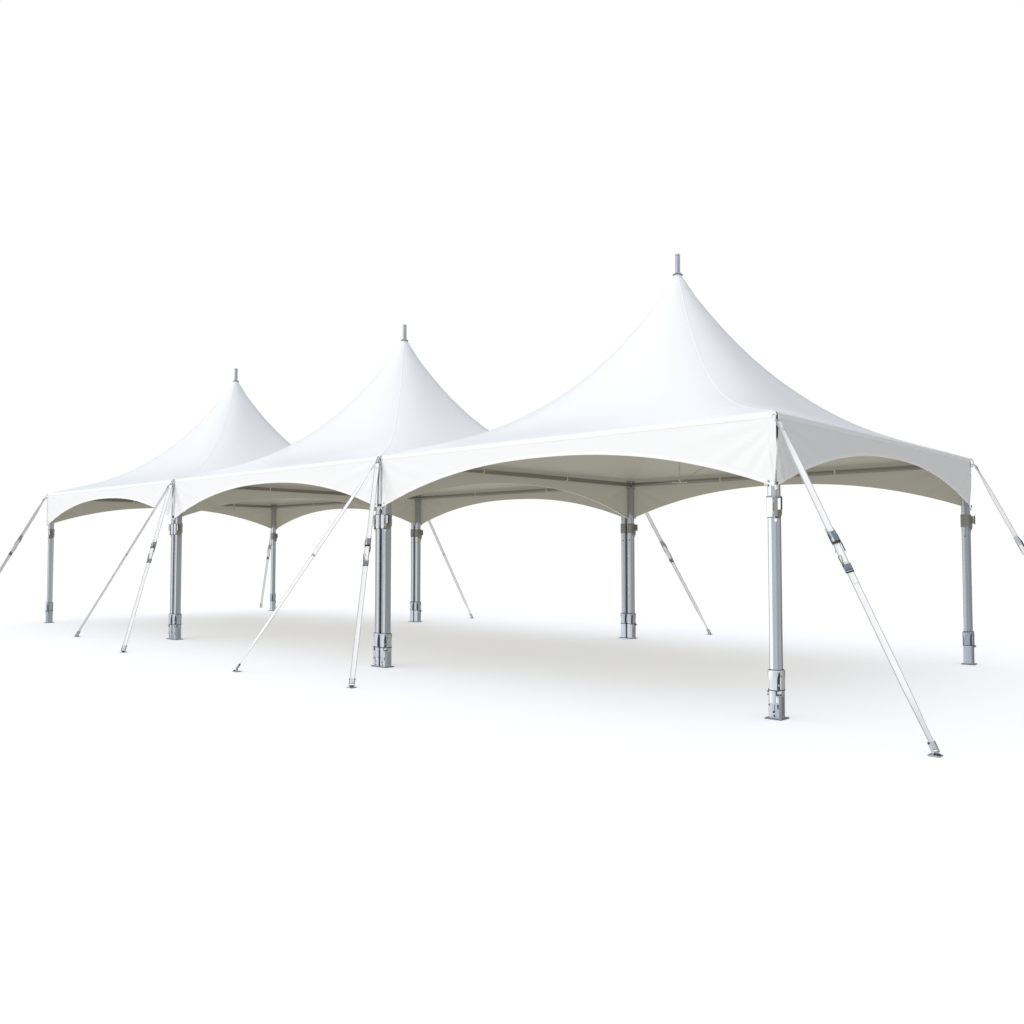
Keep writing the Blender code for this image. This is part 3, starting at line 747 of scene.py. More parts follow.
# Looks: 0 zinc, 1 sleeve, 2 painted shade of slots and gaps, 3 yellow zinc, 4 dark
FOOT_FITTINGS = [
    (0, slab(square(SOCKET_WIDTH, SOCKET_RADIUS, 5), SOCKET_LOW, SOCKET_TOP + 0.001, 0.0015), ORIGIN),
    (0, slotted_sleeve(), ORIGIN),
    (0, sweep(WELD_BEAD, oval(0.006, 0.005, 8), loop=True), ORIGIN),
    # Plates of the outer face, and dark bricks and discs as painted shade of its slots and pin holes
    (1, brick((0.042, 0.0024, 0.100), 0.001, 0.001), (-0.0105, SOCKET_FACE - 0.0006, 0.174)),
    (1, brick((0.025, 0.0024, 0.044), 0.001, 0.001), (0.0335, SOCKET_FACE - 0.0006, 0.152)),
    (4, brick((0.0060, 0.003, 0.062), 0.0014, 0.001), (0.0060, SOCKET_FACE + 0.0004, 0.087)),
    (4, brick((0.012, 0.003, 0.014), 0.0014, 0.001), (-0.041, SOCKET_FACE + 0.0002, 0.111)),
    (4, brick((0.012, 0.003, 0.036), 0.0014, 0.001), (0.0345, SOCKET_FACE + 0.0002, 0.099)),
    (4, PIN_HOLE, (-0.001, SOCKET_FACE - 0.0006, 0.056), OUTWARD),
    (4, PIN_HOLE, (0.003, SOCKET_FACE - 0.0006, 0.027), OUTWARD),
    # Painted shade: dark rings in the gaps under and over the sleeve
    (2, sleeve_around(square(SOCKET_WIDTH - 0.004, SOCKET_RADIUS),
                      square(SOCKET_WIDTH + 0.006, SOCKET_RADIUS),
                      SOCKET_TOP - 0.008, SOCKET_TOP, 0.001), ORIGIN),
    (2, sleeve_around(square(LEG_WIDTH + 0.002, LEG_RADIUS),
                      square(LEG_WIDTH + 0.014, LEG_RADIUS),
                      SLEEVE_TOP - 0.001, SLEEVE_TOP + 0.005, 0.001), ORIGIN),
    # Notch, hooks and barrel bolt between socket and sleeve; the notches and the upper and lower hook blocks
    # are dark as painted shade
    (2, brick((0.026, 0.006, 0.040), 0.002, 0.002), (0.030, SOCKET_FACE + 0.0008, 0.205)),
    (2, brick((0.006, 0.030, 0.034), 0.002, 0.002), (-SOCKET_FACE - 0.0008, SOCKET_FACE + 0.020, 0.205)),
    *[(look, brick((0.016, 0.016, 0.010), 0.004, 0.003), (SOCKET_FACE - 0.001, SOCKET_FACE + 0.008, height))
      for height, look in ((0.216, 2), (0.204, 0), (0.190, 2))],
    (3, turned([(0.010, -0.020), (0.0138, -0.017), (0.0138, 0.017), (0.010, 0.020)], 18),
     (-SOCKET_FACE + 0.002, SOCKET_FACE + 0.006, 0.213), Matrix.Rotation(radians(78), 4, "Y")),
    # Fins of the side face with dark strips between them as painted shade, and a dark disc as painted shade
    # of a hole
    *[(0, brick((0.0030, 0.009, 0.150), 0.001, 0.001), (-SOCKET_FACE + 0.0008, y, 0.100))
      for y in (-0.018, 0.006, 0.030)],
    *[(2, brick((0.0020, 0.004, 0.150), 0.0008, 0.0008), (-SOCKET_FACE + 0.0002, y, 0.100))
      for y in (-0.006, 0.018)],
    (4, turned([(0.0090, 0.0), (0.0090, 0.0012), (0.007, 0.0016)], 16),
     (SLEEVE_SIDE - 0.0006, -0.020, 0.340), (1, 0, 0)),
    (1, bolt((SLEEVE_SIDE - 0.0155, -SLEEVE_SIDE + 0.0155, 0.268), (1, -1, 0), 0.0065, 0.006), ORIGIN),
]


def make_foot(name, legs):
    """A base plate with a socket and a slotted sleeve under each leg."""
    middle = sum(legs, Vector()) / len(legs)
    spread = max(leg.x for leg in legs) - min(leg.x for leg in legs)
    front = -1 if middle.y < 0 else 1
    shape = Shape()
    plate = rounded(PLATE_WIDTH + spread, PLATE_WIDTH, PLATE_RADIUS, 5)
    shape.add(slab(plate, 0.0, PLATE_THICKNESS, 0.0022), 5, at(middle.x, middle.y, 0))
    for side_x, side_y in CORNERS:
        shape.add(bolt((middle.x + side_x * (spread / 2 + 0.062), middle.y + side_y * 0.062, SOCKET_LOW),
                       (0, 0, 1), 0.006, 0.005), 3)
    for leg in legs:
        near = 1 if leg.x > (middle.x if len(legs) > 1 else 0) else -1
        shape.fit(at(leg.x, leg.y, 0) @ Matrix.Diagonal((near, -front, 1, 1)), FOOT_FITTINGS)
    # Painted light and shade: the nearest front foot's sleeve takes a brighter metal, the back feet's sleeves
    # the darker plated steel
    sleeve_light_and_shade = LIT_SLEEVE if name == "foot_front_4" else ZINC if front < 0 else BUCKLE_STEEL
    piece(name.replace("foot", "base"), shape, [ZINC, sleeve_light_and_shade, SHADOW_BLUE, BARREL, DARK, GUNMETAL],
          [name])


# ---------------------------------------------------------------- eave frame

def rail_outline():
    """Section of an eave rail: outward and height, with its grooves and lips."""
    low, high, half = RAIL_BOTTOM, BEAM_TOP, BEAM_WIDTH / 2
    return [(-half + 0.002, low), (half - 0.002, low), (half, low + 0.002), (half, high - 0.026),
            (half - 0.005, high - 0.024), (half - 0.005, high - 0.014), (half, high - 0.012),
            (half, high - 0.002), (half - 0.002, high), (0.006, high), (0.005, high - 0.006),
            (-0.005, high - 0.006), (-0.006, high), (-half + 0.002, high), (-half, high - 0.002),
            (-half, high - 0.011), (-half + 0.005, high - 0.012), (-half + 0.005, high - 0.020),
            (-half, high - 0.021), (-half, low + 0.018), (-half + 0.004, low + 0.017),
            (-half + 0.004, low + 0.012), (-half, low + 0.011), (-half, low + 0.002)]


def make_frame(bay):
    """Eave rails, corner castings with their eyes, and straps that tie the cover."""
    shape, straps = Shape(), Shape()
    reach = LEG - BEAM_HOLD
    for quarter in range(4):
        place = at(bay_centre(bay), 0, 0) @ Matrix.Rotation(quarter * pi / 2, 4, "Z")
        rings = [[Vector((LEG + u, along, z)) for u, z in rail_outline()] for along in (-reach, 0.0, reach)]
        shape.add(loft(rings), 0, place)
        for along in (-0.85, 0.85):
            loop = [Vector((LEG + u, along, (BEAM_TOP + RAIL_BOTTOM) / 2 + z))
                    for u, z in rounded(BEAM_WIDTH + 0.003, BEAM_TOP - RAIL_BOTTOM + 0.003, 0.004, 3)]
            tape = rounded(0.0016, 0.016, 0.0006, 2)
            straps.add(sweep(loop, tape, up=Vector((0, 1, 0)), loop=True), 1, place)
            straps.add(brick((0.004, 0.020, 0.014), 0.0015, 0.001), 1,
                       place @ at(LEG - BEAM_WIDTH / 2 - 0.0035, along, RAIL_BOTTOM + 0.020))
    for side_x, side_y in CORNERS:
        add_corner(shape, straps, bay, side_x, side_y)
    piece("frame_%d" % (bay + 1), shape, [RAIL, CASTING, DARK],
          ["eave_frame_%d" % (bay + 1)])
    piece("cover_ties_%d" % (bay + 1), straps, [WEBBING, BEIGE_WEB], angle=45)


# Dark strap over a guy eye: outward and up from its root
EYE_STRAP = ((-0.004, 0.074), (0.006, 0.080), (0.018, 0.076), (0.028, 0.062),
             (0.036, 0.042), (0.042, 0.020), (0.040, 0.004))


def add_corner(shape, straps, bay, side_x, side_y):
    """A corner casting with ribs and bolts, its guy eye and its cable eye."""
    corner = corner_point(bay, side_x, side_y)
    half = CASTING_WIDTH / 2
    place = at(corner.x, corner.y, 0) @ Matrix.Diagonal((side_x, side_y, 1, 1))
    body = square(CASTING_WIDTH - 0.003, CASTING_RADIUS)
    shape.add(slab(body, CASTING_BOTTOM, CASTING_TOP - 0.002, 0.001), 1, place)
    for low, high in ((CASTING_BOTTOM, CASTING_BOTTOM + 0.010), (CASTING_TOP - 0.012, CASTING_TOP)):
        shape.add(slab(square(CASTING_WIDTH, CASTING_RADIUS), low, high, 0.0015), 1, place)
    for height in (2.348, 2.392):
        shape.add(bolt((-0.004, -half + 0.0008, height), OUTWARD, 0.0065, 0.005), 1, place @ at(-0.016, 0, 0))
        shape.add(bolt((-half + 0.0008, -0.020, height), (-1, 0, 0), 0.0065, 0.005), 1, place)
    # Cable eye towards the middle
    inward = Vector((-side_x, -side_y, 0)).normalized()
    start = corner + inward * (half * sqrt(2) + CABLE_EYE_LENGTH)
    for share in (0.0, 1.0):
        shift = inward.cross(UP) * (0.0075 * (2 * share - 1))
        shape.add(brick((0.050, 0.0035, EYE_DEPTH), 0.001, 0.001), 1,
                  at(*(start - inward * 0.021 + shift + UP * CABLE_EYE_HEIGHT)) @
                  Matrix.Rotation(atan2(inward.y, inward.x), 4, "Z"))
    # Painted shade: a dark block behind the slit of an outer corner
    if is_outer(bay, side_x):
        shape.add(brick((0.0150, 0.0360, 0.215), 0.004, 0.002), 2,
                  place @ at(half - 0.0070, half - 0.0175, 2.318))
    # Guy eye
    if (bay, side_x, side_y) in [guy[:3] for guy in GUYS.values()]:
        out, root = eye_direction(bay, side_x, side_y), eye_root(bay, side_x, side_y)
        eye = [root - out * 0.006 - UP * 0.020]
        eye += arc(root + out * 0.014, 0.016, -80, 80, 10, out, UP)
        eye += [root - out * 0.006 + UP * 0.020]
        shape.add(sweep(eye, oval(0.010, 0.010, 10), up=out.cross(UP)), 1)
        strap = [root + out * reach + UP * rise for reach, rise in EYE_STRAP]
        shape.add(sweep(strap, oval(0.0070, 0.0060, 8), up=out.cross(UP)), 2)
        # Rope loop that ties the corner of the cover
        side = out.cross(UP).normalized()
        loop = [root + out * 0.010 + side * (0.020 * sin(a)) + UP * (0.030 + 0.030 * cos(a))
                for a in around(20)]
        straps.add(sweep(loop, oval(0.006, 0.006, 8), up=out, loop=True), 0)


# ---------------------------------------------------------------- cables and mast

HUB = [(HUB_RADIUS * 0.75, HUB_BOTTOM), (HUB_RADIUS, HUB_BOTTOM + 0.004), (HUB_RADIUS, HUB_BOTTOM + 0.016),
       (HUB_RADIUS * 0.72, HUB_BOTTOM + 0.020), (HUB_RADIUS * 0.72, HUB_TOP - 0.020),
       (HUB_RADIUS, HUB_TOP - 0.016), (HUB_RADIUS, HUB_TOP - 0.003), (HUB_RADIUS * 0.8, HUB_TOP)]
STRAND_REACHES = [(a, CABLE_RADIUS * (0.86 + 0.14 * cos(6 * a))) for a in around(18)]
STRANDS = [(reach * cos(a), reach * sin(a)) for a, reach in STRAND_REACHES]


def make_cables(bay):
    """Crossed wire ropes with turnbuckles, and the hub that they carry."""
    shape = Shape()
    middle = Vector((bay_centre(bay), 0, (HUB_TOP + HUB_BOTTOM) / 2))
    shape.add(turned(HUB, 32), 2, at(middle.x, 0, 0))
    for side_x, side_y in CORNERS:
        corner = corner_point(bay, side_x, side_y)
        inward = Vector((-side_x, -side_y, 0)).normalized()
        start = corner + inward * (CASTING_WIDTH / 2 * sqrt(2) + CABLE_EYE_LENGTH) + UP * CABLE_EYE_HEIGHT
        end = middle - inward * HUB_RADIUS * 0.9
        along, length = (end - start).normalized(), (end - start).length
        side, sideways = inward.cross(UP), Matrix.Rotation(pi / 2, 4, "Z")

        def turn(look, profile, sides, place=start):
            """A turned part of the cable, along it."""
            shape.add(turned(profile, sides), look, aimed(place, along))

        # Jaw, turnbuckle body with its two rods, then the rope with a swaged end
        for sign in (-1, 1):
            shape.add(brick((0.0045, 0.022, 0.060), 0.002, 0.0015), 1,
                      aimed(start + along * 0.014 + side * 0.010 * sign, along) @ sideways)
        shape.add(turned([(0.004, 0.0), (0.006, 0.002), (0.006, 0.026), (0.004, 0.028)], 12), 1,
                  aimed(start + side * 0.014 - along * 0.006, side * -1))
        turn(1, [(0.0045, 0.03), (0.0045, 0.30)], 12)
        for sign in (-1, 1):
            shape.add(brick((0.004, 0.009, 0.160), 0.0018, 0.0015), 1,
                      aimed(start + along * 0.165 + side * 0.010 * sign, along) @ sideways)
        for place in (0.085, 0.245):
            turn(1, [(0.009, -0.011), (0.013, -0.008), (0.013, 0.008), (0.009, 0.011)], 16,
                 start + along * place)
        turn(1, [(0.0075, 0.29), (0.0085, 0.295), (0.0085, 0.355), (0.006, 0.365)], 14)
        count = 200
        path = [start + along * (0.35 + (length - 0.38) * k / count) for k in range(count + 1)]
        shape.add(sweep(path, STRANDS, twist=0.42), 0)
        turn(2, [(0.006, length - 0.075), (0.0085, length - 0.065),
                 (0.0085, length - 0.010), (0.007, length)], 14)
    piece("cables_%d" % (bay + 1), shape, [ROPE, RAIL, ROD], ["cross_cables_%d" % (bay + 1)])


def make_joint_strips():
    """Tapered tubes that close the slits between the valances of two bays."""
    shape = Shape()
    strip = turned([(0.010, 1.890), (0.030, 1.894), (0.0305, 1.930), (0.029, 2.140), (0.0190, 2.300),
                    (0.0135, 2.345), (0.011, 2.385), (0.006, 2.392)], 28)
    for joint in range(BAYS - 1):
        for side_y in (-1, 1):
            shape.add(strip, 0, at(bay_centre(joint) + BAY / 2, side_y * (LEG + 0.036), 0))
    shape.add(turned([(0.008, 1.850), (0.015, 1.854), (0.0145, 2.360), (0.007, 2.368)], 24), 0,
              at(bay_centre(0) - HALF - 0.013, -LEG - 0.046, 0))
    piece("joint_strips", shape, [PALE_TUBE], angle=40)


# Parts of a mast: look, sides and (radius, height) profile
MAST_FOOT = PEAK + SEAT
MAST_PARTS = [
    (0, 48, [(ROD_RADIUS, HUB_TOP + SEAT), (ROD_RADIUS, PEAK - MAST_TUBE_DEPTH - MAST_TAPER),
             (MAST_RADIUS, PEAK - MAST_TUBE_DEPTH), (MAST_RADIUS, MAST_TOP - 0.020),
             (MAST_RADIUS - 0.0012, MAST_TOP - 0.0145), (MAST_RADIUS - 0.004, MAST_TOP - 0.004),
             (MAST_CAP_RADIUS, MAST_TOP)]),
    (1, 48, [(MAST_RADIUS + 0.0005, MAST_FOOT), (MAST_COLLAR_RADIUS, MAST_FOOT),
             (MAST_COLLAR_RADIUS + 0.0005, MAST_FOOT + 0.003),
             (MAST_COLLAR_RADIUS - 0.004, MAST_FOOT + 0.010),
             (MAST_RADIUS + 0.010, MAST_FOOT + 0.022),
             (MAST_RADIUS + 0.004, MAST_FOOT + MAST_COLLAR_HEIGHT - 0.004),
             (MAST_RADIUS + 0.0005, MAST_FOOT + MAST_COLLAR_HEIGHT)]),
    (2, 48, [(MAST_RADIUS + 0.0004, MAST_TOP - 0.024), (MAST_RADIUS + 0.0016, MAST_TOP - 0.0235),
             (MAST_RADIUS + 0.0016, MAST_TOP - 0.0205), (MAST_RADIUS + 0.0004, MAST_TOP - 0.020)]),
    (2, 48, [(MAST_COLLAR_RADIUS - 0.006, MAST_FOOT + 0.0105),
             (MAST_COLLAR_RADIUS - 0.0055, MAST_FOOT + 0.0135),
             (MAST_COLLAR_RADIUS - 0.011, MAST_FOOT + 0.0165)]),
    (2, 48, [(MAST_COLLAR_RADIUS - 0.004, MAST_FOOT - 0.0002),
             (MAST_COLLAR_RADIUS + 0.0022, MAST_FOOT + 0.0002),
             (MAST_COLLAR_RADIUS + 0.0022, MAST_FOOT + 0.0040),
             (MAST_COLLAR_RADIUS - 0.002, MAST_FOOT + 0.0050)]),
    *[(1, 6, [(ROD_RADIUS, height - 0.010), (ROD_RADIUS + 0.005, height - 0.008),
              (ROD_RADIUS + 0.005, height + 0.008), (ROD_RADIUS, height + 0.010)])
      for height in (HUB_TOP + 0.02, HUB_TOP + 0.10)],
]
# Faces of the mast that start below this height are of the painted rod
ROD_END = 2.9


def make_mast(bay):
    """The mast: foot rod, tube inside the peak, skirted collar, bare tube, cap."""
    shape = Shape()
    for look, sides, profile in MAST_PARTS:
        shape.add(turned(profile, sides), look, at(bay_centre(bay), 0, 0))
    for number, face in enumerate(shape.faces):
        if min(shape.points[corner].z for corner in face) < ROD_END:
            shape.looks[number] = 3
    piece("pole_%d" % (bay + 1), shape, [TUBE, CASTING, DARK, ROD],
          ["mast_%d" % (bay + 1)], angle=30)


# ---------------------------------------------------------------- guys

def guy_frame(bay, side_x, side_y, offset):
    """Top and bottom of a guy's webbing, its hook's middle and its ground point."""
    out = eye_direction(bay, side_x, side_y)
    tip = eye_root(bay, side_x, side_y) + EYE_LENGTH * out
    hook = tip + out * (SEAT + HOOK_LENGTH / 2)
    stake = corner_point(bay, side_x, side_y) + Vector((*offset, 0))
    level = Vector((stake.x - hook.x, stake.y - hook.y, 0)).normalized()
    top = hook + out * WEB_START[0] - UP * WEB_START[1]
    hold = stake - level * CLEVIS_SET_BACK + UP * CLEVIS_MIDDLE
    return out, hook, top, hold, stake, level


WAVE = 0.0006


def add_ratchet_webs(straps, webbing, on, ratchet, buckle, length):
    """Webbing above and below the ratchet, wound on it, and its loose end."""
    run = [on(0.06 + (ratchet - 0.085) * k / 30, y=0.0012 + WAVE * sin(k * 1.1)) for k in range(31)]
    straps.add(webbing(run + [on(ratchet - 0.014, y=0.004), on(ratchet - 0.004, y=0.010)]))
    # Webbing wound on the ratchet's spindle
    straps.add(webbing([on(ratchet + 0.012 + 0.0135 * cos(a), y=0.001 + 0.0135 * sin(a))
                        for a in [2 * pi * k / 20 for k in range(21)]]))
    # Loose end that hangs beside the guy, and the short run down to the lower buckle
    tail = [on(ratchet + 0.02, y=0.014), on(ratchet + 0.045, y=0.012), on(ratchet + 0.075, y=0.006)]
    straps.add(webbing(tail + [on(ratchet + 0.10, y=0.003) - UP * 0.012 * k for k in range(1, 4)]))
    run = [on(ratchet + 0.03, y=-0.006), on(ratchet + 0.06, y=-0.005)]
    straps.add(webbing(run + [on(ratchet + 0.08 + (buckle - 0.012 - ratchet - 0.08) * k / 8, y=-0.003)
                              for k in range(9)]))
    # Thick fold of webbing that runs from the ratchet towards the buckle
    straps.add(webbing([on(ratchet + 0.055 + (buckle - 0.10 - ratchet) * k / 10, x=-0.004,
                           y=0.0085 * (1 - k / 12))
                        for k in range(11)]))
    # Lower run to the clevis, doubled near the buckle
    straps.add(webbing([on(buckle + 0.03 + (length - buckle - 0.075) * k / 24,
                           y=0.0012 + WAVE * sin(k * 1.3 + 1))
                        for k in range(25)]))
    straps.add(webbing([on(buckle + 0.02, y=0.006), on(buckle + 0.06, y=0.0045), on(buckle + 0.13, y=0.004)]))


# Sections of the ratchet and the buckle, as (along, off the webbing's face)
CHEEK = [(-0.070, -0.006), (-0.066, -0.012), (0.020, -0.015), (0.040, -0.012), (0.046, 0.0),
         (0.040, 0.012), (0.020, 0.017), (0.0, 0.016), (-0.03, 0.008), (-0.066, 0.002)]
ARM = [(-0.004, 0.012), (0.004, 0.020), (0.078, 0.017), (0.082, 0.010), (0.070, 0.006), (0.01, 0.006)]
HUMP = [(-0.032, 0.0), (-0.028, 0.006), (-0.014, 0.011), (0.010, 0.0115), (0.024, 0.009), (0.032, 0.004),
        (0.032, 0.0010), (0.024, 0.0055), (0.010, 0.0085), (-0.014, 0.008), (-0.028, 0.003), (-0.032, -0.002)]
TEETH = [((0.0185 if k % 2 else 0.0145) * cos(a), (0.0185 if k % 2 else 0.0145) * sin(a))
         for k, a in enumerate(around(24))]


def side_plates(sign):
    """One cheek, toothed wheel and lever arm of a ratchet."""
    for look, reach, section in ((0, (0.0270, 0.0290), [(y, -z) for z, y in CHEEK]),
                                 (2, (0.0240, 0.0265), [(0.001 + v, 0.012 + u) for u, v in TEETH]),
                                 (0, (0.0295, 0.0315), [(y, z) for z, y in ARM])):
        yield look, loft([[Vector((sign * x, y, z)) for y, z in section] for x in reach]), ORIGIN


# Looks: 0 zinc-plated steel, 1 galvanised, 2 dark, 3 gunmetal
RATCHET_PARTS = [
    *side_plates(-1), *side_plates(1),
    (0, turned([(0.0062, -0.033), (0.0078, -0.031), (0.0078, 0.031), (0.0062, 0.033)], 16),
     (0.012, 0, 0.001), ACROSS),
    (0, turned([(0.005, -0.031), (0.006, -0.029), (0.006, 0.029), (0.005, 0.031)], 14),
     (-0.060, 0, -0.004), ACROSS),
    (0, brick((0.054, 0.0022, 0.088), 0.001, 0.001), (-0.030, 0, -0.0125)),
    (3, brick((0.038, 0.006, 0.082), 0.0025, 0.0025), (0.010, 0.008, 0.0170)),
    (1, brick((0.018, 0.004, 0.050), 0.0018, 0.0018), (-0.010, -0.016, 0.0165)),
    (2, brick((0.066, 0.016, 0.015), 0.006, 0.004), (0.062, 0, 0.0140)),
    (2, brick((0.0070, 0.011, 0.072), 0.003, 0.002), (0.108, 0.0330, 0.0080)),
    (2, brick((0.0070, 0.011, 0.070), 0.003, 0.002), (0.022, -0.0320, 0.0060)),
]
# Wire triangle between the ratchet and the lower run: along and across
TRIANGLE = ((0.170, -0.032), (0.168, -0.012), (0.174, -0.010), (0.262, -0.026),
            (0.266, -0.030), (0.178, -0.035))
BUCKLE_PIN = turned([(0.004, -0.030), (0.005, -0.029), (0.005, 0.029), (0.004, 0.030)], 12)
BUCKLE_PARTS = [
    (3, loft([[Vector((x, y, z)) for z, y in HUMP] for x in (-0.026, -0.024, 0.024, 0.026)]), ORIGIN),
    (0, brick((0.0022, 0.020, 0.066), 0.001, 0.001), (0, -0.0278, -0.002)),
    (2, brick((0.0022, 0.020, 0.066), 0.001, 0.001), (0, 0.0278, -0.002)),
    (2, brick((0.062, 0.016, 0.012), 0.005, 0.004), (0.037, 0, 0.0045)),
    (0, BUCKLE_PIN, (-0.026, 0, -0.004), ACROSS), (0, BUCKLE_PIN, (0.018, 0, -0.004), ACROSS),
]
# Clevis: two plates, the sleeve between them and its pin, from the webbing's lower end
CLEVIS_PARTS = [
    (0, brick((0.0035, 0.022, 0.078), 0.0015, 0.0015), (-0.004, -0.0265, 0)),
    (0, brick((0.0035, 0.022, 0.078), 0.0015, 0.0015), (-0.004, 0.0265, 0)),
    (1, brick((0.046, 0.017, 0.056), 0.007, 0.003), (-0.014, 0, 0)),
    (2, turned([(0.006, -0.033), (0.0075, -0.0315), (0.0075, 0.0315), (0.006, 0.033)], 16),
     (-0.032, 0, 0), ACROSS),
]
# Section of the webbing, with thicker edges that take a darker grey as painted shade
WEB_HALF, WEB_STRIP = WEB_WIDTH / 2, WEB_WIDTH / 2 - WEB_EDGE_SHADE_WIDTH
WEB_BAND = [(-WEB_HALF, 0.0), (-WEB_HALF + 0.001, 0.0014), (-WEB_STRIP, 0.0015), (-WEB_STRIP + 0.002, 0.0011),
            (0.0, 0.0013), (WEB_STRIP - 0.002, 0.0011), (WEB_STRIP, 0.0015), (WEB_HALF - 0.001, 0.0014),
            (WEB_HALF, 0.0), (WEB_HALF - 0.001, -0.0014), (WEB_STRIP, -0.0015), (WEB_STRIP - 0.002, -0.0011),
            (-WEB_STRIP + 0.002, -0.0011), (-WEB_STRIP, -0.0015), (-WEB_HALF + 0.001, -0.0014)]
SHADED_EDGE_FACES = [min(abs(u), abs(after)) > WEB_STRIP - 0.0001
             for (u, _), (after, _) in zip(WEB_BAND, WEB_BAND[1:] + WEB_BAND[:1])]
# Guys whose webbing is painted in shade: grey all over on one, darker edges on the other
WEB_LOOKS = {"guy_front_left": [SHADED_GREY_WEB, BEIGE_WEB, SHADED_GREY_WEB],
             "guy_front_middle_right_a": [WEBBING, BEIGE_WEB, SHADED_WEB]}


def make_guy(name, bay, side_x, side_y, offset):
    """A webbing guy: snap hook, ratchet, lower buckle, clevis and ground plate."""
    out, hook, top, hold, stake, level = guy_frame(bay, side_x, side_y, offset)
    along, length = (hold - top).normalized(), (hold - top).length
    flat = UP.cross(along).normalized()

    def axes(z):
        """Directions across the webbing and off its face; it lies flat at its two ends."""
        turned_by = radians(WEB_TURN.get(name, 0))
        turned_by *= smoothstep(0.04, 0.45, z) * (1 - smoothstep(length - 0.50, length - 0.08, z))
        across = flat * cos(turned_by) + along.cross(flat) * sin(turned_by)
        return across, along.cross(across)

    def on(z, x=0.0, y=0.0):
        """A point on the guy: z along it, x across, y off its face."""
        across, face = axes(z)
        return top + along * z + across * x + face * y

    def block(z, x=0.0, y=0.0):
        """A placement on the guy, Z along the webbing and X across it."""
        return Matrix.Translation(on(z, x, y)) @ Matrix((*axes(z), along)).transposed().to_4x4()

    def webbing(path):
        """Webbing along a path on the guy."""
        rings = []
        for index, point in enumerate(path):
            way = (path[min(index + 1, len(path) - 1)] - path[max(index - 1, 0)]).normalized()
            across = axes((point - top).dot(along))[0]
            off = way.cross(across)
            rings.append([point + across * u + off * v for u, v in WEB_BAND])
        points, faces = loft(rings)
        count = len(WEB_BAND)
        # Faces of the thick edges take the painted edge shade
        looks = [2 if number < count * (len(rings) - 1) and SHADED_EDGE_FACES[number % count] else 0
                 for number in range(len(faces))]
        return points, faces, looks

    ratchet, buckle = [share * length for share in DEVICES_AT.get(name, (RATCHET_AT, BUCKLE_AT))]
    plain = name in PLAIN_GUYS
    straps = Shape()
    # Sewn loop round the D-ring, then the long run to the ratchet
    loop = [on(0.085, y=-0.0016), on(0.05, y=-0.003), on(0.016, y=-0.0075)]
    loop += [on(0.004 - 0.0075 * sin(a), y=-0.0075 * cos(a)) for a in [0.3 * k for k in range(11)]]
    loop += [on(0.016, y=0.0075), on(0.05, y=0.003), on(0.085, y=0.0016)]
    straps.add(webbing(loop), 0)
    if plain:
        # One length down to the clevis, with a small keeper on it in the grey of the painted edge shade
        run = [on(0.06 + (length - 0.105) * k / 60, y=0.0012 + WAVE * sin(k * 1.1)) for k in range(61)]
        straps.add(webbing(run))
        straps.add(brick((WEB_WIDTH + 0.004, 0.0075, 0.026), 0.002, 0.0015), 2, block(0.46 * length))
    else:
        add_ratchet_webs(straps, webbing, on, ratchet, buckle, length)
    stitch = brick((WEB_WIDTH * 0.72, 0.0012, 0.002), 0.0005, 0.0005)
    for number in range(4):
        straps.add(stitch, 1, block(0.052 + 0.009 * number, y=0.0042))
    looks = WEB_LOOKS.get(name, [WEBBING, BEIGE_WEB, WEB_EDGE_SHADE])
    piece("webbing_" + name[4:], straps, looks, [name], angle=50)

    steel = Shape()
    # Snap hook through the eye, with its D-ring
    bend = arc(hook - out * 0.006, 0.016, 200, 20, 12, out, UP)
    bend += [hook + out * 0.010 - UP * 0.008, hook + out * 0.009 - UP * 0.020]
    steel.add(sweep(bend, oval(0.006, 0.006), up=out.cross(UP)), 0)
    ring_centre = top - along * 0.002
    across, face = axes(0)
    dee = [ring_centre + across * (0.026 * cos(a)) - along * (0.018 * max(0.0, sin(a)))
           for a in [pi * k / 14 for k in range(15)]]
    dee += [ring_centre + across * (-0.026 + 0.052 * k / 5) for k in range(1, 5)]
    steel.add(sweep(dee, oval(0.0055, 0.0055, 8), up=face, loop=True), 0)
    if not plain:
        steel.fit_on(block, ratchet, RATCHET_PARTS)
        triangle = [on(ratchet + z, x, 0.004) for z, x in TRIANGLE]
        steel.add(sweep(triangle, oval(0.005, 0.005, 8), up=axes(ratchet)[1], loop=True), 2)
        steel.fit_on(block, buckle, BUCKLE_PARTS)
    piece("tensioner_" + name[4:], steel, [BUCKLE_STEEL, ZINC, DARK, GUNMETAL], angle=32)

    anchor = Shape()
    turn = Matrix.Rotation(atan2(level.y, level.x), 4, "Z")
    anchor.add(slab(square(STAKE_WIDTH, STAKE_RADIUS, 5), 0.0, STAKE_THICKNESS, 0.002), 0,
               at(stake.x, stake.y, 0))
    anchor.fit_on(block, length, CLEVIS_PARTS)
    pin_head = [(0.014, STAKE_THICKNESS - 0.0004), (0.014, 0.016), (0.010, 0.020), (0.004, 0.022)]
    anchor.add(turned(pin_head, 18), 2, at(stake.x, stake.y, 0) @ turn @ at(0.026, 0.0, 0.0))
    anchor.add(brick((0.016, 0.050, 0.020), 0.004, 0.003), 0,
               at(stake.x, stake.y, STAKE_THICKNESS + 0.0095) @ turn @ at(-0.002, 0, 0))
    piece("anchor_" + name[4:], anchor, [ZINC, PALE_TUBE, DARK])


# ---------------------------------------------------------------- tips of the valances

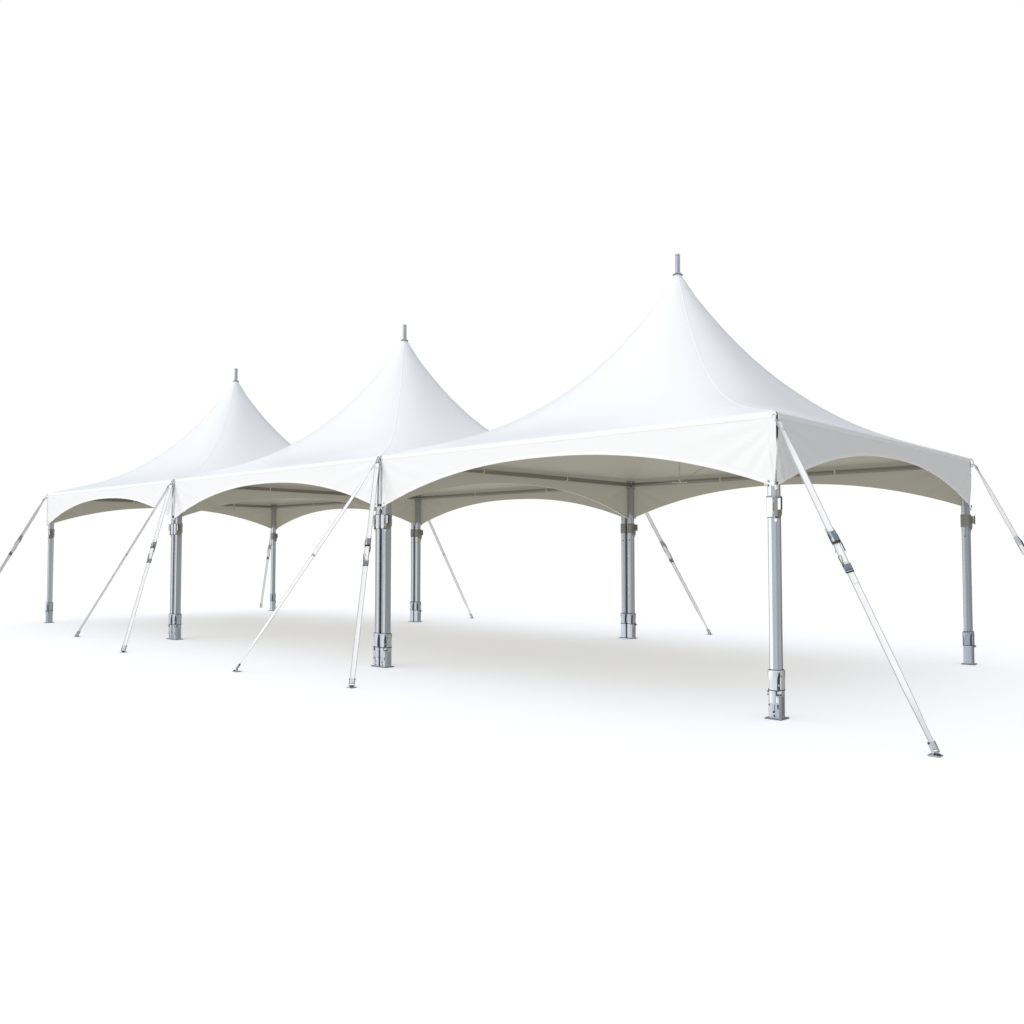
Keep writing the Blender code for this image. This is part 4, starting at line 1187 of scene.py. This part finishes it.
TIP_SIDE, TIP_HEIGHT = HALF - LEG, EAVE - DROP_CORNER
EYELET_HEIGHT = EAVE - valance_drop(HALF - 0.075) + 0.018
TAB = [Vector((TIP_SIDE - 0.012, -TIP_SIDE + 0.004, TIP_HEIGHT + 0.010)),
       Vector((TIP_SIDE - 0.014, -TIP_SIDE + 0.010, TIP_HEIGHT - 0.012)),
       Vector((TIP_SIDE - 0.020, -TIP_SIDE + 0.016, TIP_HEIGHT - 0.020)),
       Vector((TIP_SIDE - 0.020, -TIP_SIDE + 0.022, TIP_HEIGHT - 0.004))]
# Looks: 0 webbing, 1 beige webbing
SOFT_TIP = [
    (1, brick((0.030, 0.0016, 0.034), 0.0007, 0.0007),
     (TIP_SIDE - 0.100, -TIP_SIDE + 0.0035, EYELET_HEIGHT - 0.024)),
    (0, sweep(TAB, rounded(0.022, 0.0018, 0.0007, 2), up=Vector(OUTWARD)), ORIGIN),
]
EYELET = [(0.0045, 0.0), (0.0045, 0.0014), (0.006, 0.0022), (0.009, 0.0018), (0.010, 0.0), (0.0045, 0.0)]
# Looks: 0 steel, 1 pale knob, 2 dark
HARD_TIP = [
    (0, turned(EYELET, 20),
     (TIP_SIDE - 0.075, -TIP_SIDE - 0.0005, EYELET_HEIGHT), OUTWARD),
    (1, turned([(0.004, 0.0), (0.008, 0.002), (0.008, 0.010), (0.005, 0.013)], 16),
     (TIP_SIDE - 0.010, -TIP_SIDE - 0.001, TIP_HEIGHT + 0.006), OUTWARD),
    (2, brick((0.012, 0.004, 0.026), 0.0018, 0.0015),
     (TIP_SIDE - 0.004, -TIP_SIDE + 0.010, TIP_HEIGHT + 0.030)),
]


def make_tips(bay):
    """Eyelets, tabs and knobs that hold the low corners of the valances."""
    soft, hard = Shape(), Shape()
    for side_x, side_y in CORNERS:
        corner = corner_point(bay, side_x, side_y)
        place = at(corner.x, corner.y, 0) @ Matrix.Diagonal((side_x, -side_y, 1, 1))
        hard.fit(place, HARD_TIP)
        soft.fit(place, SOFT_TIP)
    piece("tip_tabs_%d" % (bay + 1), soft, [WEBBING, BEIGE_WEB], angle=45)
    piece("tip_eyelets_%d" % (bay + 1), hard, [BUCKLE_STEEL, COVER, DARK])


# ---------------------------------------------------------------- studio

CAMERA_PLACE, CAMERA_PITCH, CAMERA_TURN, FOCAL_LENGTH = (10.906, -9.292, 1.317), 90 + 2.58, 42.82, 32.217
SUN_WAY, SUN_STRENGTH, SUN_SPREAD = (-0.24, -0.82, 0.60), 1.34, 50
FLOOR_REACH, FLOOR_HEIGHT, FLOOR_LIGHT = 150.0, -0.001, 0.362

# Light along the horizon by compass angle from +X, in degrees: what falls on
# the pieces, and what their glossy sides reflect
HORIZON = ((-180, (0.42, 0.425, 0.44)), (-150, (0.58, 0.59, 0.61)), (-122, (0.88, 0.89, 0.91)),
           (-98, (0.90, 0.92, 0.95)), (-72, (0.58, 0.60, 0.63)), (-42, (0.32, 0.33, 0.35)),
           (0, (0.09, 0.09, 0.095)), (45, (0.08, 0.08, 0.08)), (75, (0.16, 0.155, 0.15)),
           (110, (0.24, 0.24, 0.24)), (150, (0.34, 0.34, 0.35)), (180, (0.42, 0.425, 0.44)))
MIRRORED = ((-180, (0.56, 0.60, 0.66)), (-165, (0.78, 0.82, 0.87)), (-150, (0.72, 0.75, 0.79)),
            (-142, (0.84, 0.86, 0.89)), (-137, (1.46, 1.48, 1.50)), (-127, (1.52, 1.53, 1.53)),
            (-122, (0.86, 0.88, 0.91)), (-112, (0.68, 0.74, 0.80)), (-95, (0.60, 0.64, 0.70)),
            (-60, (0.46, 0.49, 0.53)), (-20, (0.36, 0.37, 0.38)), (12, (0.52, 0.52, 0.51)),
            (26, (0.46, 0.46, 0.44)), (40, (0.60, 0.60, 0.575)), (56, (0.44, 0.44, 0.42)),
            (80, (0.22, 0.23, 0.23)), (120, (0.18, 0.18, 0.19)), (150, (0.26, 0.27, 0.30)),
            (180, (0.56, 0.60, 0.66)))
ZENITH, GROUND, NADIR = (0.87, 0.89, 0.93), (0.80, 0.80, 0.785), (1.18, 1.165, 1.12)
SKY_STRENGTH = 1.05


def make_camera():
    """The photograph's viewpoint."""
    lens = bpy.data.cameras.new("camera")
    lens.lens = FOCAL_LENGTH
    lens.sensor_width = 36.0
    lens.clip_end = 400.0
    holder = bpy.data.objects.new("camera", lens)
    holder.location = CAMERA_PLACE
    holder.rotation_euler = (radians(CAMERA_PITCH), 0, radians(CAMERA_TURN))
    bpy.context.scene.collection.objects.link(holder)
    bpy.context.scene.camera = holder


def make_world():
    """White for the camera; softly graded light from the front left and above."""
    world = bpy.data.worlds.new("studio")
    bpy.context.scene.world = world
    world.use_nodes = True
    tree = world.node_tree
    tree.nodes.clear()

    def node(kind, output, inputs=(), **settings):
        """The named output of a new node."""
        return add_node(tree, kind, inputs, **settings).outputs[output]

    parts = add_node(tree, "SeparateXYZ", {0: node("TexCoord", "Generated")}).outputs
    azimuth = node("Math", 0, {0: parts["Y"], 1: parts["X"]}, operation="ARCTAN2")
    round_share = node("MapRange", "Result", {"Value": azimuth, "From Min": -pi, "From Max": pi})

    def ramp(stops):
        """Colours round the horizon."""
        made = add_node(tree, "ValToRGB", {"Fac": round_share})
        while len(made.color_ramp.elements) < len(stops):
            made.color_ramp.elements.new(0.5)
        for element, (degrees, colour) in zip(made.color_ramp.elements, stops):
            element.position = (degrees + 180) / 360
            element.color = (*colour, 1)
        return made.outputs["Color"]

    def graded(below, colour, start, end):
        """Another colour above or below two heights of the sky."""
        rise = node("MapRange", "Result", {"Value": parts["Z"], "From Min": start, "From Max": end},
                    interpolation_type="SMOOTHSTEP")
        return node("Mix", "Result", {"Factor": rise, "A": below, "B": (*colour, 1)}, data_type="RGBA")

    def background(colour, strength=1.0):
        """One look of the sky."""
        return node("Background", 0, {"Color": colour, "Strength": strength})

    def chosen(ray, otherwise, then):
        """One look for one kind of ray."""
        return node("MixShader", 0, {"Fac": path[ray], 1: otherwise, 2: then})

    path = add_node(tree, "LightPath").outputs
    falling = graded(ramp(HORIZON), ZENITH, 0.12, 0.95)
    falling = graded(graded(falling, GROUND, -0.02, -0.22), NADIR, -0.45, -0.90)
    seen = background(graded(ramp(MIRRORED), ZENITH, 0.25, 0.95))
    light = chosen("Is Glossy Ray", background(falling, SKY_STRENGTH), seen)
    add_node(tree, "OutputWorld", {"Surface": chosen("Is Camera Ray", light, background((1.0, 1.0, 1.0, 1)))})


def make_floor():
    """A pale floor without an edge in view."""
    mesh = bpy.data.meshes.new("floor")
    corners = [(x * FLOOR_REACH, y * FLOOR_REACH, FLOOR_HEIGHT)
               for x, y in ((-1, -1), (1, -1), (1, 1), (-1, 1))]
    mesh.from_pydata(corners, [], [(0, 1, 2, 3)])
    mesh.materials.append(surface("studio_floor", (0.885, 0.895, 0.925), 0.9, grain=(3, 3, 3),
                                  tone=0.01, bump=0.0, Emission_Color=(1, 1, 1, 1),
                                  Emission_Strength=FLOOR_LIGHT, Specular_IOR_Level=0.0))
    floor = bpy.data.objects.new("floor", mesh)
    floor.visible_glossy = False
    floor.visible_diffuse = False
    bpy.context.scene.collection.objects.link(floor)
    return floor


def make_lamp(floor):
    """A broad soft sun from the front left, which leaves the floor's shade to the sky."""
    lamp = bpy.data.lights.new("soft_sun", "SUN")
    lamp.energy = SUN_STRENGTH
    lamp.color = (1.0, 0.985, 0.955)
    lamp.angle = radians(SUN_SPREAD)
    holder = bpy.data.objects.new("soft_sun", lamp)
    holder.visible_glossy = False
    holder.rotation_euler = Vector(SUN_WAY).to_track_quat("Z", "Y").to_euler()
    bpy.context.scene.collection.objects.link(holder)
    spared = bpy.data.collections.new("spared_by_sun")
    spared.objects.link(floor)
    spared.collection_objects[0].light_linking.link_state = "EXCLUDE"
    holder.light_linking.receiver_collection = spared


make_camera()
make_world()
make_lamp(make_floor())
bpy.context.scene.view_settings.view_transform = "Standard"
for side_row, side_word in ((-1, "front"), (1, "back")):
    stands = [[corner_point(0, -1, side_row)]]
    for number in range(BAYS - 1):
        stands.append([corner_point(number, 1, side_row), corner_point(number + 1, -1, side_row)])
    stands.append([corner_point(BAYS - 1, 1, side_row)])
    for number, legs_there in enumerate(stands):
        make_foot("foot_%s_%d" % (side_word, number + 1), legs_there)
    for number in range(BAYS):
        for side_sign in (-1, 1):
            make_leg(number, side_sign, side_row)
for number in range(BAYS):
    make_frame(number)
    make_cables(number)
    make_mast(number)
    for turns in range(4):
        make_skirt(number, turns)
    make_canopy(number)
    make_tips(number)
make_joint_strips()
for guy_name, (guy_bay, guy_x, guy_y, ground) in GUYS.items():
    make_guy(guy_name, guy_bay, guy_x, guy_y, ground)
